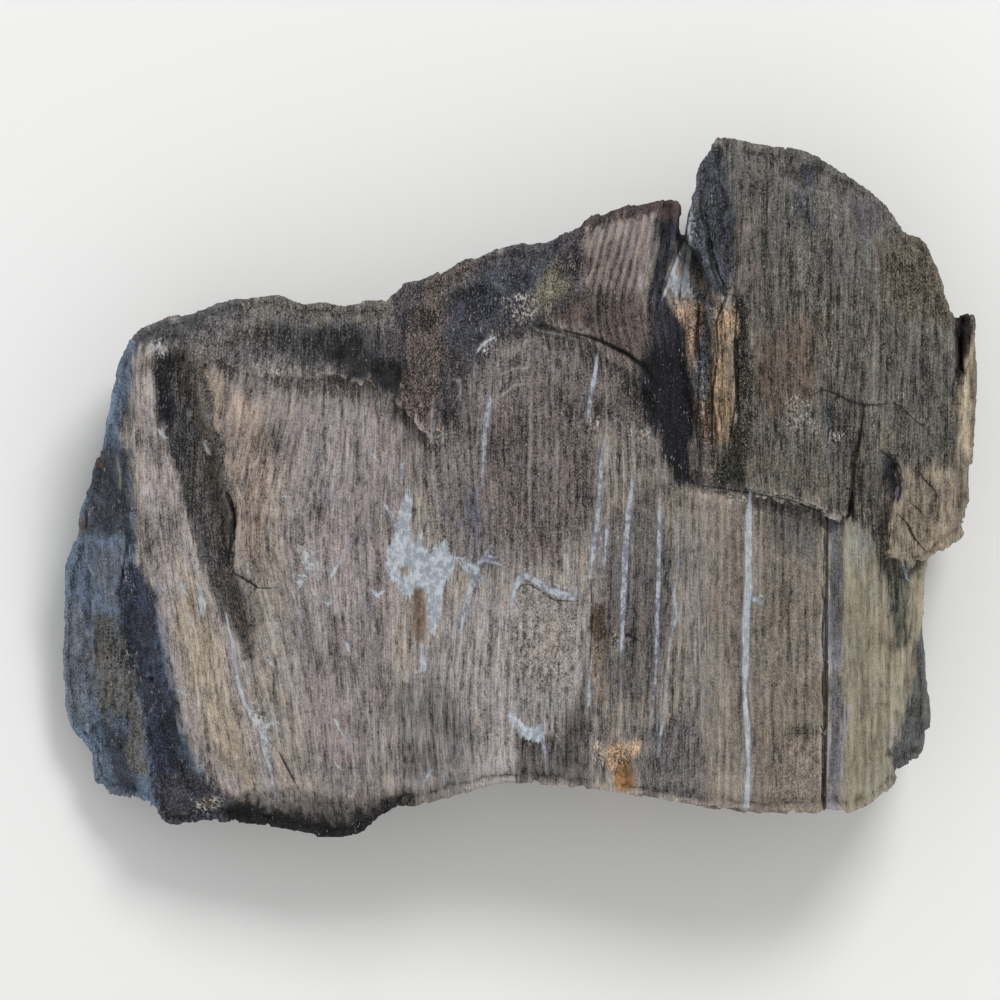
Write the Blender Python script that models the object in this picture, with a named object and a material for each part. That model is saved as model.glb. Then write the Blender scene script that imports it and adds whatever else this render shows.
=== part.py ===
"""A slab-like chunk of petrified wood, one solid stone, modelled lying on its back.

X runs across the grain, Y along the grain and Z up through the slab, from the resting face
to the split front face. The origin is in the middle, on the resting face. Sizes below are in
millimetres; the mesh is made in metres.
"""

import math

import bmesh
import bpy
import numpy as np
from mathutils import Vector, noise

METRES_PER_MM = 0.001

# Driving sizes of the stone
WIDTH = 275.0            # across the grain
LENGTH = 210.0           # along the grain
THICKNESS = 66.0         # from the resting face to the highest layer
THINNEST = 9.0           # least height of the broken side wall
RESTING_CUT = 1.0        # what is planed off the back to make the resting face

# How finely the stone is worked
WORK_GRID = 1.5          # spacing of the points that take the relief
BLOCK_HEIGHT = 40.0      # height of the block before its faces get their relief
FACE_TRIANGLES = 9400    # triangles left before the resting face is planed

# Outline of the stone seen from the front, clockwise from its upper left corner
OUTLINE = [
    (-115, 46), (-107.5, 49), (-95.5, 52), (-88, 55), (-81.5, 56), (-74.5, 57), (-70, 56), (-65.5, 54),
    (-60, 54.5), (-54, 53.5), (-47.5, 54.5), (-42, 54), (-39, 57), (-35.5, 59.5), (-29.5, 61),
    (-23.5, 63), (-17.5, 66.5), (-10.5, 69), (-5, 71), (8, 72), (12.5, 74.5), (17.5, 76.5), (22, 79.5),
    (25.5, 81), (39.5, 84), (43.5, 85.5), (47, 85.5), (48.5, 83.5), (47, 79), (47, 74.5), (50.5, 74.5),
    (52, 82), (53, 92), (54, 96), (56, 98.5), (59, 105), (65, 103), (73, 101), (84.5, 99.5),
    (90.5, 97.5), (97, 93.5), (105, 89), (111.5, 82), (115.5, 75), (122, 73), (124, 69), (126.5, 61),
    (128.5, 55), (130, 49.5), (134, 51.5), (137, 52), (137.5, 47), (137, 31), (136, 16), (134.5, 2),
    (134, -6), (133, -13.5), (129, -16.5), (121.5, -22), (121, -34), (121, -49.5), (123, -65),
    (122, -76.5), (120.5, -81), (117, -81), (113.5, -84.5), (112, -89), (108.5, -91), (106, -93.5),
    (98, -96), (91, -95.5), (87, -97), (84, -95.5), (72.5, -96.5), (59, -95), (44, -93), (36.5, -91.5),
    (20, -89), (6.5, -88), (3, -87), (0, -88), (-7, -87.5), (-12, -89.5), (-21, -91), (-32, -95),
    (-35, -94.5), (-39, -96), (-46, -102), (-50.5, -104), (-54.5, -105), (-60, -104), (-70, -101.5),
    (-85, -99), (-94, -99.5), (-102, -101), (-107.5, -100.5), (-110, -94.5), (-117, -93), (-125, -91),
    (-127, -89), (-129, -79), (-134, -72.5), (-136.5, -64), (-137.5, -52), (-137, -40), (-136, -26),
    (-132.5, -14.5), (-132, -7), (-128.5, 2), (-127.5, 6.5), (-125, 10.5), (-124.5, 18), (-121.5, 29),
    (-120, 37.5), (-116, 45),
]

# Heights of the split front face, without its raised layers: x, y, height above the resting face
FRONT_HEIGHTS = [
    (-77.5, 11, 50), (-50.5, 11, 52), (-50.5, -34, 53), (-65.5, -64, 51), (-53.5, -94, 46),
    (-80.5, -64, 49), (-20.5, -4, 54), (-20.5, -49, 54.5), (-26.5, -85, 53), (12.5, 2, 54),
    (12.5, -40, 55), (12.5, -82, 54), (39.5, -22, 55.5), (39.5, -64, 56), (72.5, -22, 57),
    (72.5, -64, 57.5), (72.5, -91, 57), (105.5, -34, 55.5), (105.5, -64, 55.5), (105.5, -91, 54),
    (117.5, -34, 51), (-107.5, 11, 46), (-98.5, -34, 46), (-86.5, -64, 48), (-116.5, 11, 43),
    (-125.5, -19, 36), (-133, -49, 26), (-119.5, -79, 32), (-101.5, -94, 38), (-95.5, 44, 46),
    (-65.5, 47, 47), (-65.5, 56, 42), (-35.5, 47, 49), (-11.5, 62, 47), (12.5, 68, 49), (30.5, 71, 53),
    (42.5, 80, 52), (45.5, 41, 52), (51.5, 11, 53), (60.5, 98, 50), (72.5, 71, 55), (84.5, 41, 58),
    (99.5, 71, 56), (108.5, 86, 51), (120.5, 71, 49), (123.5, 41, 53), (114.5, 11, 55), (129.5, 11, 50),
    (126.5, -16, 48), (137, 41, 44), (135.5, -4, 45),
]
HEIGHT_BLEND = 10.0      # how far each height above reaches before its neighbours take over

# Raised layers: edges of the plates that still cover the split face
UPPER_LAYER = [
    (-125.5, 37.5), (-94, 37.5), (-86, 36), (-77, 34.5), (-65.5, 33), (-53.5, 33), (-46.5, 31),
    (-40, 28.5), (-35.5, 24.5), (-31.5, 20), (-26.5, 14), (-23.5, 18.5), (-20, 25), (-14.5, 32),
    (-5.5, 42.5), (6.5, 48), (17, 45), (29.5, 36), (38, 28.5), (45, 19), (54.5, 14), (54.5, 116),
    (-125.5, 116),
]
RIGHT_LAYER = [
    (55.5, 0.5), (68, -2), (81.5, -4), (87, -5), (91.5, -8), (97, -9), (99, -4.5), (100.5, 3),
    (102, 12), (103.5, 23), (108, 25), (109.5, 17), (109.5, 10), (112, 8), (114, 1), (111, -5.5),
    (110, -22), (113.5, -23), (116, -25.5), (118, -21), (121.5, -22), (147.5, -22), (147.5, 116),
    (51.5, 116), (51.5, 74), (59, 61), (65, 58), (67, 26), (59, 7),
]
# Where the face below climbs to meet a layer: x, y, half width, half length, share of the rise
UPPER_JOINS = [(-7, 36, 14, 16, 1.0), (-95, 28, 26, 12, 0.75), (22, 35, 12, 9, 0.6),
               (51, 18, 9, 13, 1.0)]
RIGHT_JOINS = [(105.5, 22, 6, 18, 1.0), (61, 30, 5, 24, 0.6)]
JOIN_SLOPE = 1.6         # where a join ends, as a share of its half width
RAISED_LAYERS = [(UPPER_LAYER, 4.6, UPPER_JOINS), (RIGHT_LAYER, 4.2, RIGHT_JOINS)]
LEDGE_RUN = 1.5          # how far a layer's edge takes to drop, seen from above

# Grooves: x, y, half width and depth along each path
FISSURE = [(49, 74, 3, 13), (52.5, 61, 5.5, 9), (53.5, 50, 5.5, 7), (54, 35, 5, 5), (56, 20, 4, 4),
           (57, 8, 3, 3), (57, 1, 1, 1)]
LEFT_GROOVE = [(-104.5, 43, 6, 3.5), (-103, 26, 7, 4), (-98.5, 11, 7, 4), (-94, -4, 6, 4.5),
               (-91.5, -16, 5, 4), (-88, -31, 4, 2.5), (-82, -49, 1.5, 0.5)]
FLAKE_GAP = [(132.5, 52.5, 2.6, 14), (132, 41, 2.2, 10), (131, 29, 1.6, 6), (131, 19, 1.0, 1)]
RECESSED_BAND = [(94.5, -7, 2.6, 2.2), (94.5, -99, 2.6, 2.2)]
PLATE_CRACK = [(103.5, 26, 0.8, 0.6), (102, 14, 1.4, 2.2), (100.5, 5, 1.6, 2.6), (98, -9, 2.2, 2.6)]
FLAKE_CRACK = [(121, 3, 0.8, 1.0), (125.5, -3, 1.5, 1.8), (122, -19, 1.6, 1.2)]
BAND_SHOULDER = [(-111, -60, 2.0, 1.0), (-104, -76, 3.5, 2.4), (-99, -90, 3.0, 2.0)]
GROOVES = [FISSURE, LEFT_GROOVE, FLAKE_GAP, RECESSED_BAND, PLATE_CRACK, FLAKE_CRACK, BAND_SHOULDER]
GROOVE_FLOOR = 0.45      # share of a groove's half width that is at its full depth

# Flat breaks that cut the front down: the line each starts from, how far it falls per
# millimetre to the right of somebody who walks along that line, and how far it reaches
FRONT_BREAKS = [
    ((-112, 43), (-117, 14), 0.75, 30), ((-114, 6), (-107, -46), 0.70, 40),
    ((-107, -46), (-97, -86), 0.80, 40), ((-127, -5), (-131, -60), 0.80, 30),
    ((-128, -64), (-108, -90), 0.60, 30), ((-97, -86), (-84, -91), 0.70, 30),
    ((-84, -91), (-36, -90), 0.80, 30), ((110, -78), (119, -44), 0.95, 20),
    ((126, 50), (106, 82), 0.60, 20), ((104, 84), (70, 97), 0.55, 20),
    ((65, 101), (65, 60), 0.75, 11), ((43, 4), (37, 78), 0.42, 13),
    ((-82, 50), (-110, 41), 0.80, 20), ((-38, 50), (-80, 50), 0.50, 20),
    ((8, 65), (-36, 52), 0.60, 20), ((121, 8), (129, 44), 0.55, 9),
]
BREAK_END_CURVE = 0.12   # how sharply a break curls up past its ends and its reach

# Shell-like hollows where chips came away: x, y, half width, half length, depth
FRONT_HOLLOWS = [
    (-115.5, -46, 6.5, 22, 2.6), (-130, -49, 6, 18, 2), (-124, -4, 9, 13, 2.5), (-106, -80, 9, 13, 2.5),
    (-123, -72, 8, 10, 2.2), (-119, 22, 5, 9, 1.6), (-96, 46, 9, 5, 1.4), (-76, 44, 10, 6, 1.8),
    (-56.5, 43, 11, 7, 2.4), (-38.5, 33, 8, 7, 2.6), (-31, 50, 8, 6, 2.2), (-14, 55, 11, 8, 2.4),
    (-2, 63, 8, 6, 1.8), (14, 66, 9, 6, 1.8), (59.5, 77, 6, 15, 2.5), (111, 3, 3.2, 8, 1.6),
    (47, 62, 3.5, 9, 2.4), (118, 60, 7, 12, 1.8), (84, 94, 10, 5, 1.8), (84, -73, 5, 3.5, 0.9),
    (-32, -82, 14, 9, 1.4), (28, -84, 16, 6, 1.2), (-80, -30, 7, 26, 1.2), (64, -40, 5, 40, 0.8),
]

# Breaks round the back: the direction each faces (degrees from +X), where it leaves the
# resting face (distance from the middle) and how far it climbs per millimetre
BACK_BREAKS = [
    (2, 108, 0.62), (27, 112, 0.85), (58, 92, 0.70), (76, 78, 0.50), (97, 52, 0.62), (118, 72, 0.70),
    (143, 112, 0.50), (170, 118, 0.25), (193, 122, 0.30), (221, 130, 0.42), (246, 96, 0.60),
    (270, 80, 0.68), (292, 86, 0.50), (318, 114, 0.80), (341, 108, 0.55),
]
# Splinters that came away from the back along the grain, as outlines, and how deep each was
BACK_SPLINTERS = [
    ([(-86, -110), (-58, -110), (-61, -62), (-56, -30), (-60, 8), (-57, 34), (-64, 20), (-69, -12),
      (-76, -34), (-81, -70)], 3.4),
    ([(26, 100), (21, 62), (25, 30), (20, -6), (27, -38), (31, -6), (38, 14), (40, 48), (47, 100)], 3.0),
    ([(74, -110), (77, -66), (73, -38), (79, -18), (82, -52), (90, -74), (93, -110)], 4.2),
    ([(88, 100), (84, 54), (89, 22), (95, 50), (112, 100)], 2.6),
]

# Where the fibres lean: x, y, half width, half length, lean across the grain per millimetre along it
GRAIN_LEANS = [(-88, -50, 34, 55, 0.16), (28, 62, 26, 22, -0.28)]

# Roughness of the broken stone: size of the lumps along X, Y and Z, and their height
FRONT_LUMPS = {"size": (13, 34, 20), "height": 0.7}
GRAIN_RIBS = {"size": (4.2, 90, 60), "height": 0.55}
BACK_LUMPS = {"size": (20, 46, 30), "height": 2.2}
WALL_CHIPS = {"size": (24, 24, 15), "height": 3.0}
WALL_FLAKES = {"size": (9, 9, 6), "height": 1.1}
LUMP_FINENESS = (0.8, 2.0, 3)    # how fast finer lumps fade, how much finer each is, how many sizes
RIB_LEVEL = 50.0         # where the ribs are taken from the noise, clear of the lumps
BACK_LEVEL = 20.0        # where the back's lumps are taken from it
BACK_ROUGH_RUN = 6.0     # how high the back climbs before it is fully rough
HOLLOW_FLOOR = 1.4       # how flat a hollow's floor is; 1 is a plain bowl
MEAN_BITE = 1.5          # how far the side wall is broken in on average
DEEPEST_BITE = 4.5       # most that it is broken in
BITE_FADES = 0.6         # share of the wall's height above which the bites fade out to the front
CHIP_TILT = 0.9          # how far a chip's flat rises over its own width, per height
CHIP_SCATTER = 7.3       # spreads the chips' tilts apart
CHIP_RIDGE = 0.25        # width of the ridges between chips, as a share of their size
WALL_REACH = 15.0        # how far in from the outline the wall's roughness is felt
EDGE_DROP = 2.4          # how much the front falls to its worn edge
EDGE_REACH = 7.0

STONE_COLOUR = (0.155, 0.130, 0.108, 1.0)
STONE_ROUGHNESS = 0.62


def clear_objects():
    """Take out what the new file came with."""
    for old in list(bpy.data.objects):
        bpy.data.objects.remove(old, do_unlink=True)


def smooth_step(share):
    """Ease from 0 to 1 as share goes from 0 to 1."""
    share = np.clip(share, 0.0, 1.0)
    return share * share * (3.0 - 2.0 * share)


def path_places(x, y, path):
    """Distance from each point to a path, and the path's own values at the nearest place."""
    nearest = np.full(x.shape, np.inf)
    values = np.zeros((len(path[0]) - 2, x.size))
    for start, end in zip(path[:-1], path[1:]):
        run_x, run_y = end[0] - start[0], end[1] - start[1]
        along = ((x - start[0]) * run_x + (y - start[1]) * run_y) / (run_x**2 + run_y**2)
        along = np.clip(along, 0.0, 1.0)
        distance = np.hypot(x - start[0] - along * run_x, y - start[1] - along * run_y)
        closer = distance < nearest
        nearest[closer] = distance[closer]
        for row, (first, last) in enumerate(zip(start[2:], end[2:])):
            values[row][closer] = (first + along * (last - first))[closer]
    return nearest, values


def depth_inside(x, y, polygon):
    """Distance from each point to a closed outline, positive inside it."""
    closed = list(polygon) + [polygon[0]]
    distance, _ = path_places(x, y, closed)
    inside = np.zeros(x.shape, dtype=bool)
    for (x0, y0), (x1, y1) in zip(closed[:-1], closed[1:]):
        if y0 != y1:
            crosses = (y0 > y) != (y1 > y)
            inside ^= crosses & (x < (x1 - x0) * (y - y0) / (y1 - y0) + x0)
    return np.where(inside, distance, -distance)


def lumps(points, size, height):
    """Height of smooth noise whose lumps have the given size along X, Y and Z."""
    scaled = points / np.array(size)
    return height * np.array([noise.fractal(Vector(place), *LUMP_FINENESS) for place in scaled])


def chips(points, size, height):
    """Height of angular breaks: tilted flats of the given size that meet in blunt ridges."""
    heights = np.empty(len(points))
    for number, place in enumerate(points / np.array(size)):
        distances, centres = noise.voronoi(Vector(place))
        share = min(max((distances[1] - distances[0]) / CHIP_RIDGE, 0.0), 1.0)
        flats = []
        for centre in centres[:2]:
            tilt = noise.cell_vector(centre * CHIP_SCATTER)
            flats.append(tilt.x + CHIP_TILT * tilt.dot(Vector(place) - centre))
        heights[number] = flats[0] + (1.0 - share) * (flats[1] - flats[0]) / 2.0
    return height * heights


def groove_depth(x, y, path):
    """Depth of a groove with a flat floor and sloping sides."""
    distance, (half_width, depth) = path_places(x, y, path)
    return depth * smooth_step((1.0 - distance / half_width) / (1.0 - GROOVE_FLOOR))


def surveyed_height(x, y):
    """Smooth surface through the heights of the split face."""
    total = np.zeros(x.shape)
    weights = np.zeros(x.shape)
    for place_x, place_y, height in FRONT_HEIGHTS:
        weight = ((x - place_x)**2 + (y - place_y)**2 + HEIGHT_BLEND**2) ** -2.0
        total += weight * height
        weights += weight
    return total / weights


def grain_place(x, y):
    """Place across the grain: the wood's fibres lean at the left and curve at the top."""
    lean = np.zeros(x.shape)
    for place_x, place_y, half_width, half_length, amount in GRAIN_LEANS:
        lean += amount * np.exp(-((x - place_x) / half_width) ** 2 - ((y - place_y) / half_length) ** 2)
    return x + lean * y


def joined_share(x, y, joins):
    """How far the face below a layer has climbed to meet it, from 0 to 1."""
    joined = np.zeros(x.shape)
    for place_x, place_y, half_width, half_length, share in joins:
        away = np.hypot((x - place_x) / half_width, (y - place_y) / half_length)
        joined = np.maximum(joined, share * smooth_step(JOIN_SLOPE - away))
    return joined


def layered_height(x, y):
    """Height of the front with its raised layers, before anything broke off."""
    height = surveyed_height(x, y)
    for outline, rise, joins in RAISED_LAYERS:
        covered = smooth_step(depth_inside(x, y, outline) / LEDGE_RUN + 0.5)
        height += rise * np.maximum(covered, joined_share(x, y, joins))
    return height


def break_away(x, y, height, line, ends):
    """Cut the height down by a plane that falls to the right of a line on the face."""
    (x0, y0), (x1, y1), fall, reach = line
    length = math.hypot(x1 - x0, y1 - y0)
    run_x, run_y = (x1 - x0) / length, (y1 - y0) / length
    along = (x - x0) * run_x + (y - y0) * run_y
    beyond = (x - x0) * run_y - (y - y0) * run_x
    share = np.clip(along / length, 0.0, 1.0)
    outside = np.maximum(np.maximum(-along, along - length), beyond - reach)
    plane = ends[0] + share * (ends[1] - ends[0]) - fall * beyond
    plane += BREAK_END_CURVE * np.maximum(outside, 0.0) ** 2
    return np.where(beyond > 0.0, np.minimum(height, plane), height)


def broken_height(x, y):
    """Height of the front with its flat breaks, each of which starts at the face's own height."""
    ends = np.array([place for line in FRONT_BREAKS for place in line[:2]], dtype=float)
    all_x, all_y = np.append(x, ends[:, 0]), np.append(y, ends[:, 1])
    height = layered_height(all_x, all_y)
    for number, line in enumerate(FRONT_BREAKS):
        first = x.size + 2 * number
        height = break_away(all_x, all_y, height, line, height[first:first + 2].copy())
    return height[:x.size]


def front_height(x, y, rim):
    """Height of the front face; rim is each point's distance in from the outline."""
    height = broken_height(x, y)
    for path in GROOVES:
        height -= groove_depth(x, y, path)
    for place_x, place_y, half_width, half_length, depth in FRONT_HOLLOWS:
        away = np.hypot((x - place_x) / half_width, (y - place_y) / half_length)
        height -= depth * smooth_step(HOLLOW_FLOOR * (1.0 - away))
    height -= EDGE_DROP * np.clip(1.0 - rim / EDGE_REACH, 0.0, 1.0) ** 2
    across = grain_place(x, y)
    height += lumps(np.column_stack([across, y, height * 0]), **FRONT_LUMPS)
    height += lumps(np.column_stack([across, y, height * 0 + RIB_LEVEL]), **GRAIN_RIBS)
    return height


def back_height(x, y):
    """Height of the back: flat where it rests, climbing in flat breaks to the side wall."""
    height = np.zeros(x.shape)
    for direction, distance, climb in BACK_BREAKS:
        angle = math.radians(direction)
        beyond = x * math.cos(angle) + y * math.sin(angle) - distance
        height = np.maximum(height, climb * beyond)
    rough = lumps(np.column_stack([x, y, height * 0 + BACK_LEVEL]), **BACK_LUMPS)
    height += np.abs(rough) * smooth_step(height / BACK_ROUGH_RUN)
    for outline, depth in BACK_SPLINTERS:
        height += depth * smooth_step(depth_inside(x, y, outline) / LEDGE_RUN + 0.5)
    return height


def plain_block():
    """Closed block with the stone's outline, ready to be gridded."""
    shape = bmesh.new()
    top = BLOCK_HEIGHT * METRES_PER_MM
    corners = [shape.verts.new((x * METRES_PER_MM, y * METRES_PER_MM, top)) for x, y in OUTLINE]
    front = shape.faces.new(corners)
    bottom = bmesh.ops.extrude_face_region(shape, geom=[front])
    moved = [item for item in bottom["geom"] if isinstance(item, bmesh.types.BMVert)]
    bmesh.ops.translate(shape, verts=moved, vec=(0, 0, -top))
    bmesh.ops.triangulate(shape, faces=shape.faces)
    bmesh.ops.recalc_face_normals(shape, faces=shape.faces)
    mesh = bpy.data.meshes.new("block")
    shape.to_mesh(mesh)
    shape.free()
    return mesh


def evaluated_mesh(piece):
    """The mesh that a piece has with its modifiers."""
    bpy.context.view_layer.update()
    graph = bpy.context.evaluated_depsgraph_get()
    return bpy.data.meshes.new_from_object(piece.evaluated_get(graph))


def with_modifier(piece, kind, **settings):
    """Add a modifier and take its result as the piece's own mesh."""
    modifier = piece.modifiers.new(kind.title(), kind)
    for name, value in settings.items():
        setattr(modifier, name, value)
    result = evaluated_mesh(piece)
    piece.modifiers.remove(modifier)
    piece.data = result


def points_of(mesh):
    """Mesh points as rows of millimetres."""
    flat = np.empty(len(mesh.vertices) * 3)
    mesh.vertices.foreach_get("co", flat)
    return flat.reshape(-1, 3) / METRES_PER_MM


def set_points(mesh, points):
    """Put rows of millimetres back into the mesh."""
    mesh.vertices.foreach_set("co", (points * METRES_PER_MM).ravel())
    mesh.update()


def inward(x, y):
    """Direction from each point away from the nearest stretch of outline, weaker at corners."""
    step = 2.0
    slope_x = depth_inside(x + step, y, OUTLINE) - depth_inside(x - step, y, OUTLINE)
    slope_y = depth_inside(x, y + step, OUTLINE) - depth_inside(x, y - step, OUTLINE)
    return slope_x / (2.0 * step), slope_y / (2.0 * step)


def carve(mesh):
    """Give the gridded block its front, its back and its broken side wall."""
    points = points_of(mesh)
    x, y = points[:, 0].copy(), points[:, 1].copy()
    up = np.clip(points[:, 2] / BLOCK_HEIGHT, 0.0, 1.0)
    rim = np.maximum(depth_inside(x, y, OUTLINE), 0.0)

    front = front_height(x, y, rim)
    back = np.minimum(back_height(x, y), front - THINNEST)
    height = back + up * (front - back)

    near = rim < WALL_REACH
    wall = np.column_stack([x, y, height])[near]
    bite = np.zeros(x.shape)
    broken = MEAN_BITE + chips(wall, **WALL_CHIPS) + chips(wall, **WALL_FLAKES)
    bite[near] = np.clip(broken, 0.0, DEEPEST_BITE)
    bite *= (1.0 - rim / WALL_REACH) * (1.0 - smooth_step((up - BITE_FADES) / (1.0 - BITE_FADES)))
    in_x, in_y = inward(x, y)
    set_points(mesh, np.column_stack([x + in_x * bite, y + in_y * bite, height]))


def plane_resting_face(mesh):
    """Cut the lowest millimetre off the back and close it with one flat face."""
    shape = bmesh.new()
    shape.from_mesh(mesh)
    everything = shape.verts[:] + shape.edges[:] + shape.faces[:]
    cut = bmesh.ops.bisect_plane(shape, geom=everything, dist=1e-6, clear_inner=True,
                                 plane_co=(0, 0, RESTING_CUT * METRES_PER_MM), plane_no=(0, 0, 1))
    edges = [item for item in cut["geom_cut"] if isinstance(item, bmesh.types.BMEdge)]
    bmesh.ops.holes_fill(shape, edges=edges, sides=0)
    bmesh.ops.triangulate(shape, faces=shape.faces)
    bmesh.ops.recalc_face_normals(shape, faces=shape.faces)
    shape.to_mesh(mesh)
    shape.free()


def fit_to_size(mesh):
    """Stretch the finished stone to its exact sizes, with the origin under its middle."""
    points = points_of(mesh)
    low, high = points.min(axis=0), points.max(axis=0)
    middle = np.array([(low[0] + high[0]) / 2, (low[1] + high[1]) / 2, low[2]])
    set_points(mesh, (points - middle) * np.array([WIDTH, LENGTH, THICKNESS]) / (high - low))


def stone_material():
    """Silicified wood: brown-grey, dull where it is granular, with a faint glassy gloss."""
    material = bpy.data.materials.new("silicified_wood")
    material.use_nodes = True
    finish = material.node_tree.nodes["Principled BSDF"]
    finish.inputs["Base Color"].default_value = STONE_COLOUR
    finish.inputs["Roughness"].default_value = STONE_ROUGHNESS
    finish.inputs["Metallic"].default_value = 0.0
    return material


def make_petrified_wood():
    """The whole stone as one solid."""
    stone = bpy.data.objects.new("petrified_wood", plain_block())
    bpy.context.scene.collection.objects.link(stone)
    with_modifier(stone, "REMESH", mode="VOXEL", voxel_size=WORK_GRID * METRES_PER_MM, adaptivity=0.0)
    carve(stone.data)
    triangles = 2 * len(stone.data.polygons)
    with_modifier(stone, "DECIMATE", ratio=FACE_TRIANGLES / triangles)
    plane_resting_face(stone.data)
    fit_to_size(stone.data)
    stone.data.name = "petrified_wood"
    stone.data.materials.clear()
    stone.data.materials.append(stone_material())
    return stone


clear_objects()
make_petrified_wood()
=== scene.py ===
# A chunk of petrified wood lying on its back, seen from straight above its split front.
# X runs across the grain, Y along it. Shapes are worked in millimetres and stored in metres.
import math

import bpy
import numpy as np
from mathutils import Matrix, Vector
from mathutils.bvhtree import BVHTree


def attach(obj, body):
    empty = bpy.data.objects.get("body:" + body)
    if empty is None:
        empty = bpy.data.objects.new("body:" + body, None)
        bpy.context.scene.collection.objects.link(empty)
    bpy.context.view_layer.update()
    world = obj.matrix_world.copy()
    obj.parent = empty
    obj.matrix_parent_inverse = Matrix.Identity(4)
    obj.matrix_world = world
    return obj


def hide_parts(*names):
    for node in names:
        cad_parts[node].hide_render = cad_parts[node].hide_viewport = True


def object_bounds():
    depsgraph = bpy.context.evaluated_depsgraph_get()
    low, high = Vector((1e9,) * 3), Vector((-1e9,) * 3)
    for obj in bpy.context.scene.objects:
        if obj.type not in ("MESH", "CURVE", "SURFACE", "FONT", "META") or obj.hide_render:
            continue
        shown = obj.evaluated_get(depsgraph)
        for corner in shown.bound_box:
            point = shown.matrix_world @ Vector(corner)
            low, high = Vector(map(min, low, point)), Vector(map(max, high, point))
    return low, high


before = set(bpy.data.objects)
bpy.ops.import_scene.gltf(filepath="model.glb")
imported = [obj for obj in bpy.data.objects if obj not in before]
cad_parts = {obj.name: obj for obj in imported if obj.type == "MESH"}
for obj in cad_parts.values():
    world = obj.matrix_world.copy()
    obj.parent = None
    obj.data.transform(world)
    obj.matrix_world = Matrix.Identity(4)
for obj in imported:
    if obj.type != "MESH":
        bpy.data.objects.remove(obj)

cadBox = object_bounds()
mm = 0.001

# Marks are placed by where they show in the photograph, in its pixels
photoView = {"mmPerPixel": 0.3, "middleX": 518.5, "middleY": 487.5}
# and are looked for within some pixels of their outlines
searchPixels = {"zone": 14.0, "patch": 12, "vein": 10}


def toPixels(x, y):
    return (photoView["middleX"] + x / photoView["mmPerPixel"],
            photoView["middleY"] - y / photoView["mmPerPixel"])


def eased(share):
    share = np.clip(share, 0.0, 1.0)
    return share * share * (3.0 - 2.0 * share)


def randomAt(cells, seed):
    # a fixed pseudo-random share for each whole-number place
    mixed = cells[:, 0] * 73856093 ^ cells[:, 1] * 19349663 ^ cells[:, 2] * 83492791 ^ seed * 40503
    mixed &= 0xFFFFFFFF
    for turn in range(2):
        mixed = ((mixed >> 16) ^ mixed) * 0x45D9F3B & 0xFFFFFFFF
    mixed = (mixed >> 16) ^ mixed
    return mixed / 4294967296.0


def softNoise(places, size, seed, octaves=1):
    # smooth lumps of the given size in mm, from -1 to 1
    total = np.zeros(len(places))
    strength, reach = 1.0, 0.0
    scaled = places / np.array(size, dtype=float)
    for octave in range(octaves):
        low = np.floor(scaled).astype(np.int64)
        part = eased(scaled - low)
        for corner in range(8):
            step = np.array([corner & 1, corner >> 1 & 1, corner >> 2 & 1])
            weight = np.prod(np.where(step == 1, part, 1.0 - part), axis=1)
            total += strength * weight * (2.0 * randomAt(low + step, seed + 17 * octave) - 1.0)
        reach += strength
        strength *= 0.5
        scaled = scaled * 2.03 + 11.3
    return total / reach


def cellPattern(places, size, seed, deep=True):
    # distance to the nearest and second cell centre, as shares of the size, the cell's own number and
    # how far its tilted flat rises here
    scaled = places / np.array(size, dtype=float)
    low = np.floor(scaled).astype(np.int64)
    nearest = np.full(len(places), 9.0)
    second = np.full(len(places), 9.0)
    number = np.zeros(len(places))
    tilted = np.zeros(len(places))
    for sideX in (-1, 0, 1):
        for sideY in (-1, 0, 1):
            for sideZ in ((-1, 0, 1) if deep else (0,)):
                cell = low + np.array([sideX, sideY, sideZ])
                centre = cell + np.column_stack([randomAt(cell, seed + turn) for turn in (1, 2, 3)])
                if not deep:
                    centre[:, 2] = scaled[:, 2]
                distance = np.sqrt(((centre - scaled) ** 2).sum(axis=1))
                closer = distance < nearest
                second = np.where(closer, nearest, np.minimum(second, distance))
                nearest = np.where(closer, distance, nearest)
                number[closer] = randomAt(cell, seed + 9)[closer]
                away = scaled - centre
                slope = sum((randomAt(cell, seed + 21 + side) - 0.5) * away[:, side] for side in range(3))
                tilted[closer] = slope[closer]
    return nearest, second, number, tilted


def alongPath(x, y, path):
    # distance to a path, and the path's own further values at the nearest place
    nearest = np.full(x.shape, np.inf)
    values = np.zeros((len(path[0]) - 2, x.size))
    for start, end in zip(path[:-1], path[1:]):
        runX, runY = end[0] - start[0], end[1] - start[1]
        share = ((x - start[0]) * runX + (y - start[1]) * runY) / max(runX**2 + runY**2, 1e-9)
        share = np.clip(share, 0.0, 1.0)
        distance = np.hypot(x - start[0] - share * runX, y - start[1] - share * runY)
        closer = distance < nearest
        nearest[closer] = distance[closer]
        for row, (first, last) in enumerate(zip(start[2:], end[2:])):
            values[row][closer] = (first + share * (last - first))[closer]
    return nearest, values


def depthInside(x, y, outline):
    # distance in from a closed outline, negative outside it
    closed = list(outline) + [outline[0]]
    distance, _ = alongPath(x, y, closed)
    inside = np.zeros(x.shape, dtype=bool)
    for (x0, y0), (x1, y1) in zip(closed[:-1], closed[1:]):
        if y0 != y1:
            crosses = (y0 > y) != (y1 > y)
            inside ^= crosses & (x < (x1 - x0) * (y - y0) / (y1 - y0) + x0)
    return np.where(inside, distance, -distance)


def pointsOf(mesh):
    flat = np.empty(len(mesh.vertices) * 3)
    mesh.vertices.foreach_get("co", flat)
    return flat.reshape(-1, 3) / mm


def normalsOf(mesh):
    flat = np.empty(len(mesh.vertices) * 3)
    mesh.vertices.foreach_get("normal", flat)
    return flat.reshape(-1, 3)


def setPoints(mesh, points):
    mesh.vertices.foreach_set("co", (points * mm).ravel())
    mesh.update()


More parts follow.
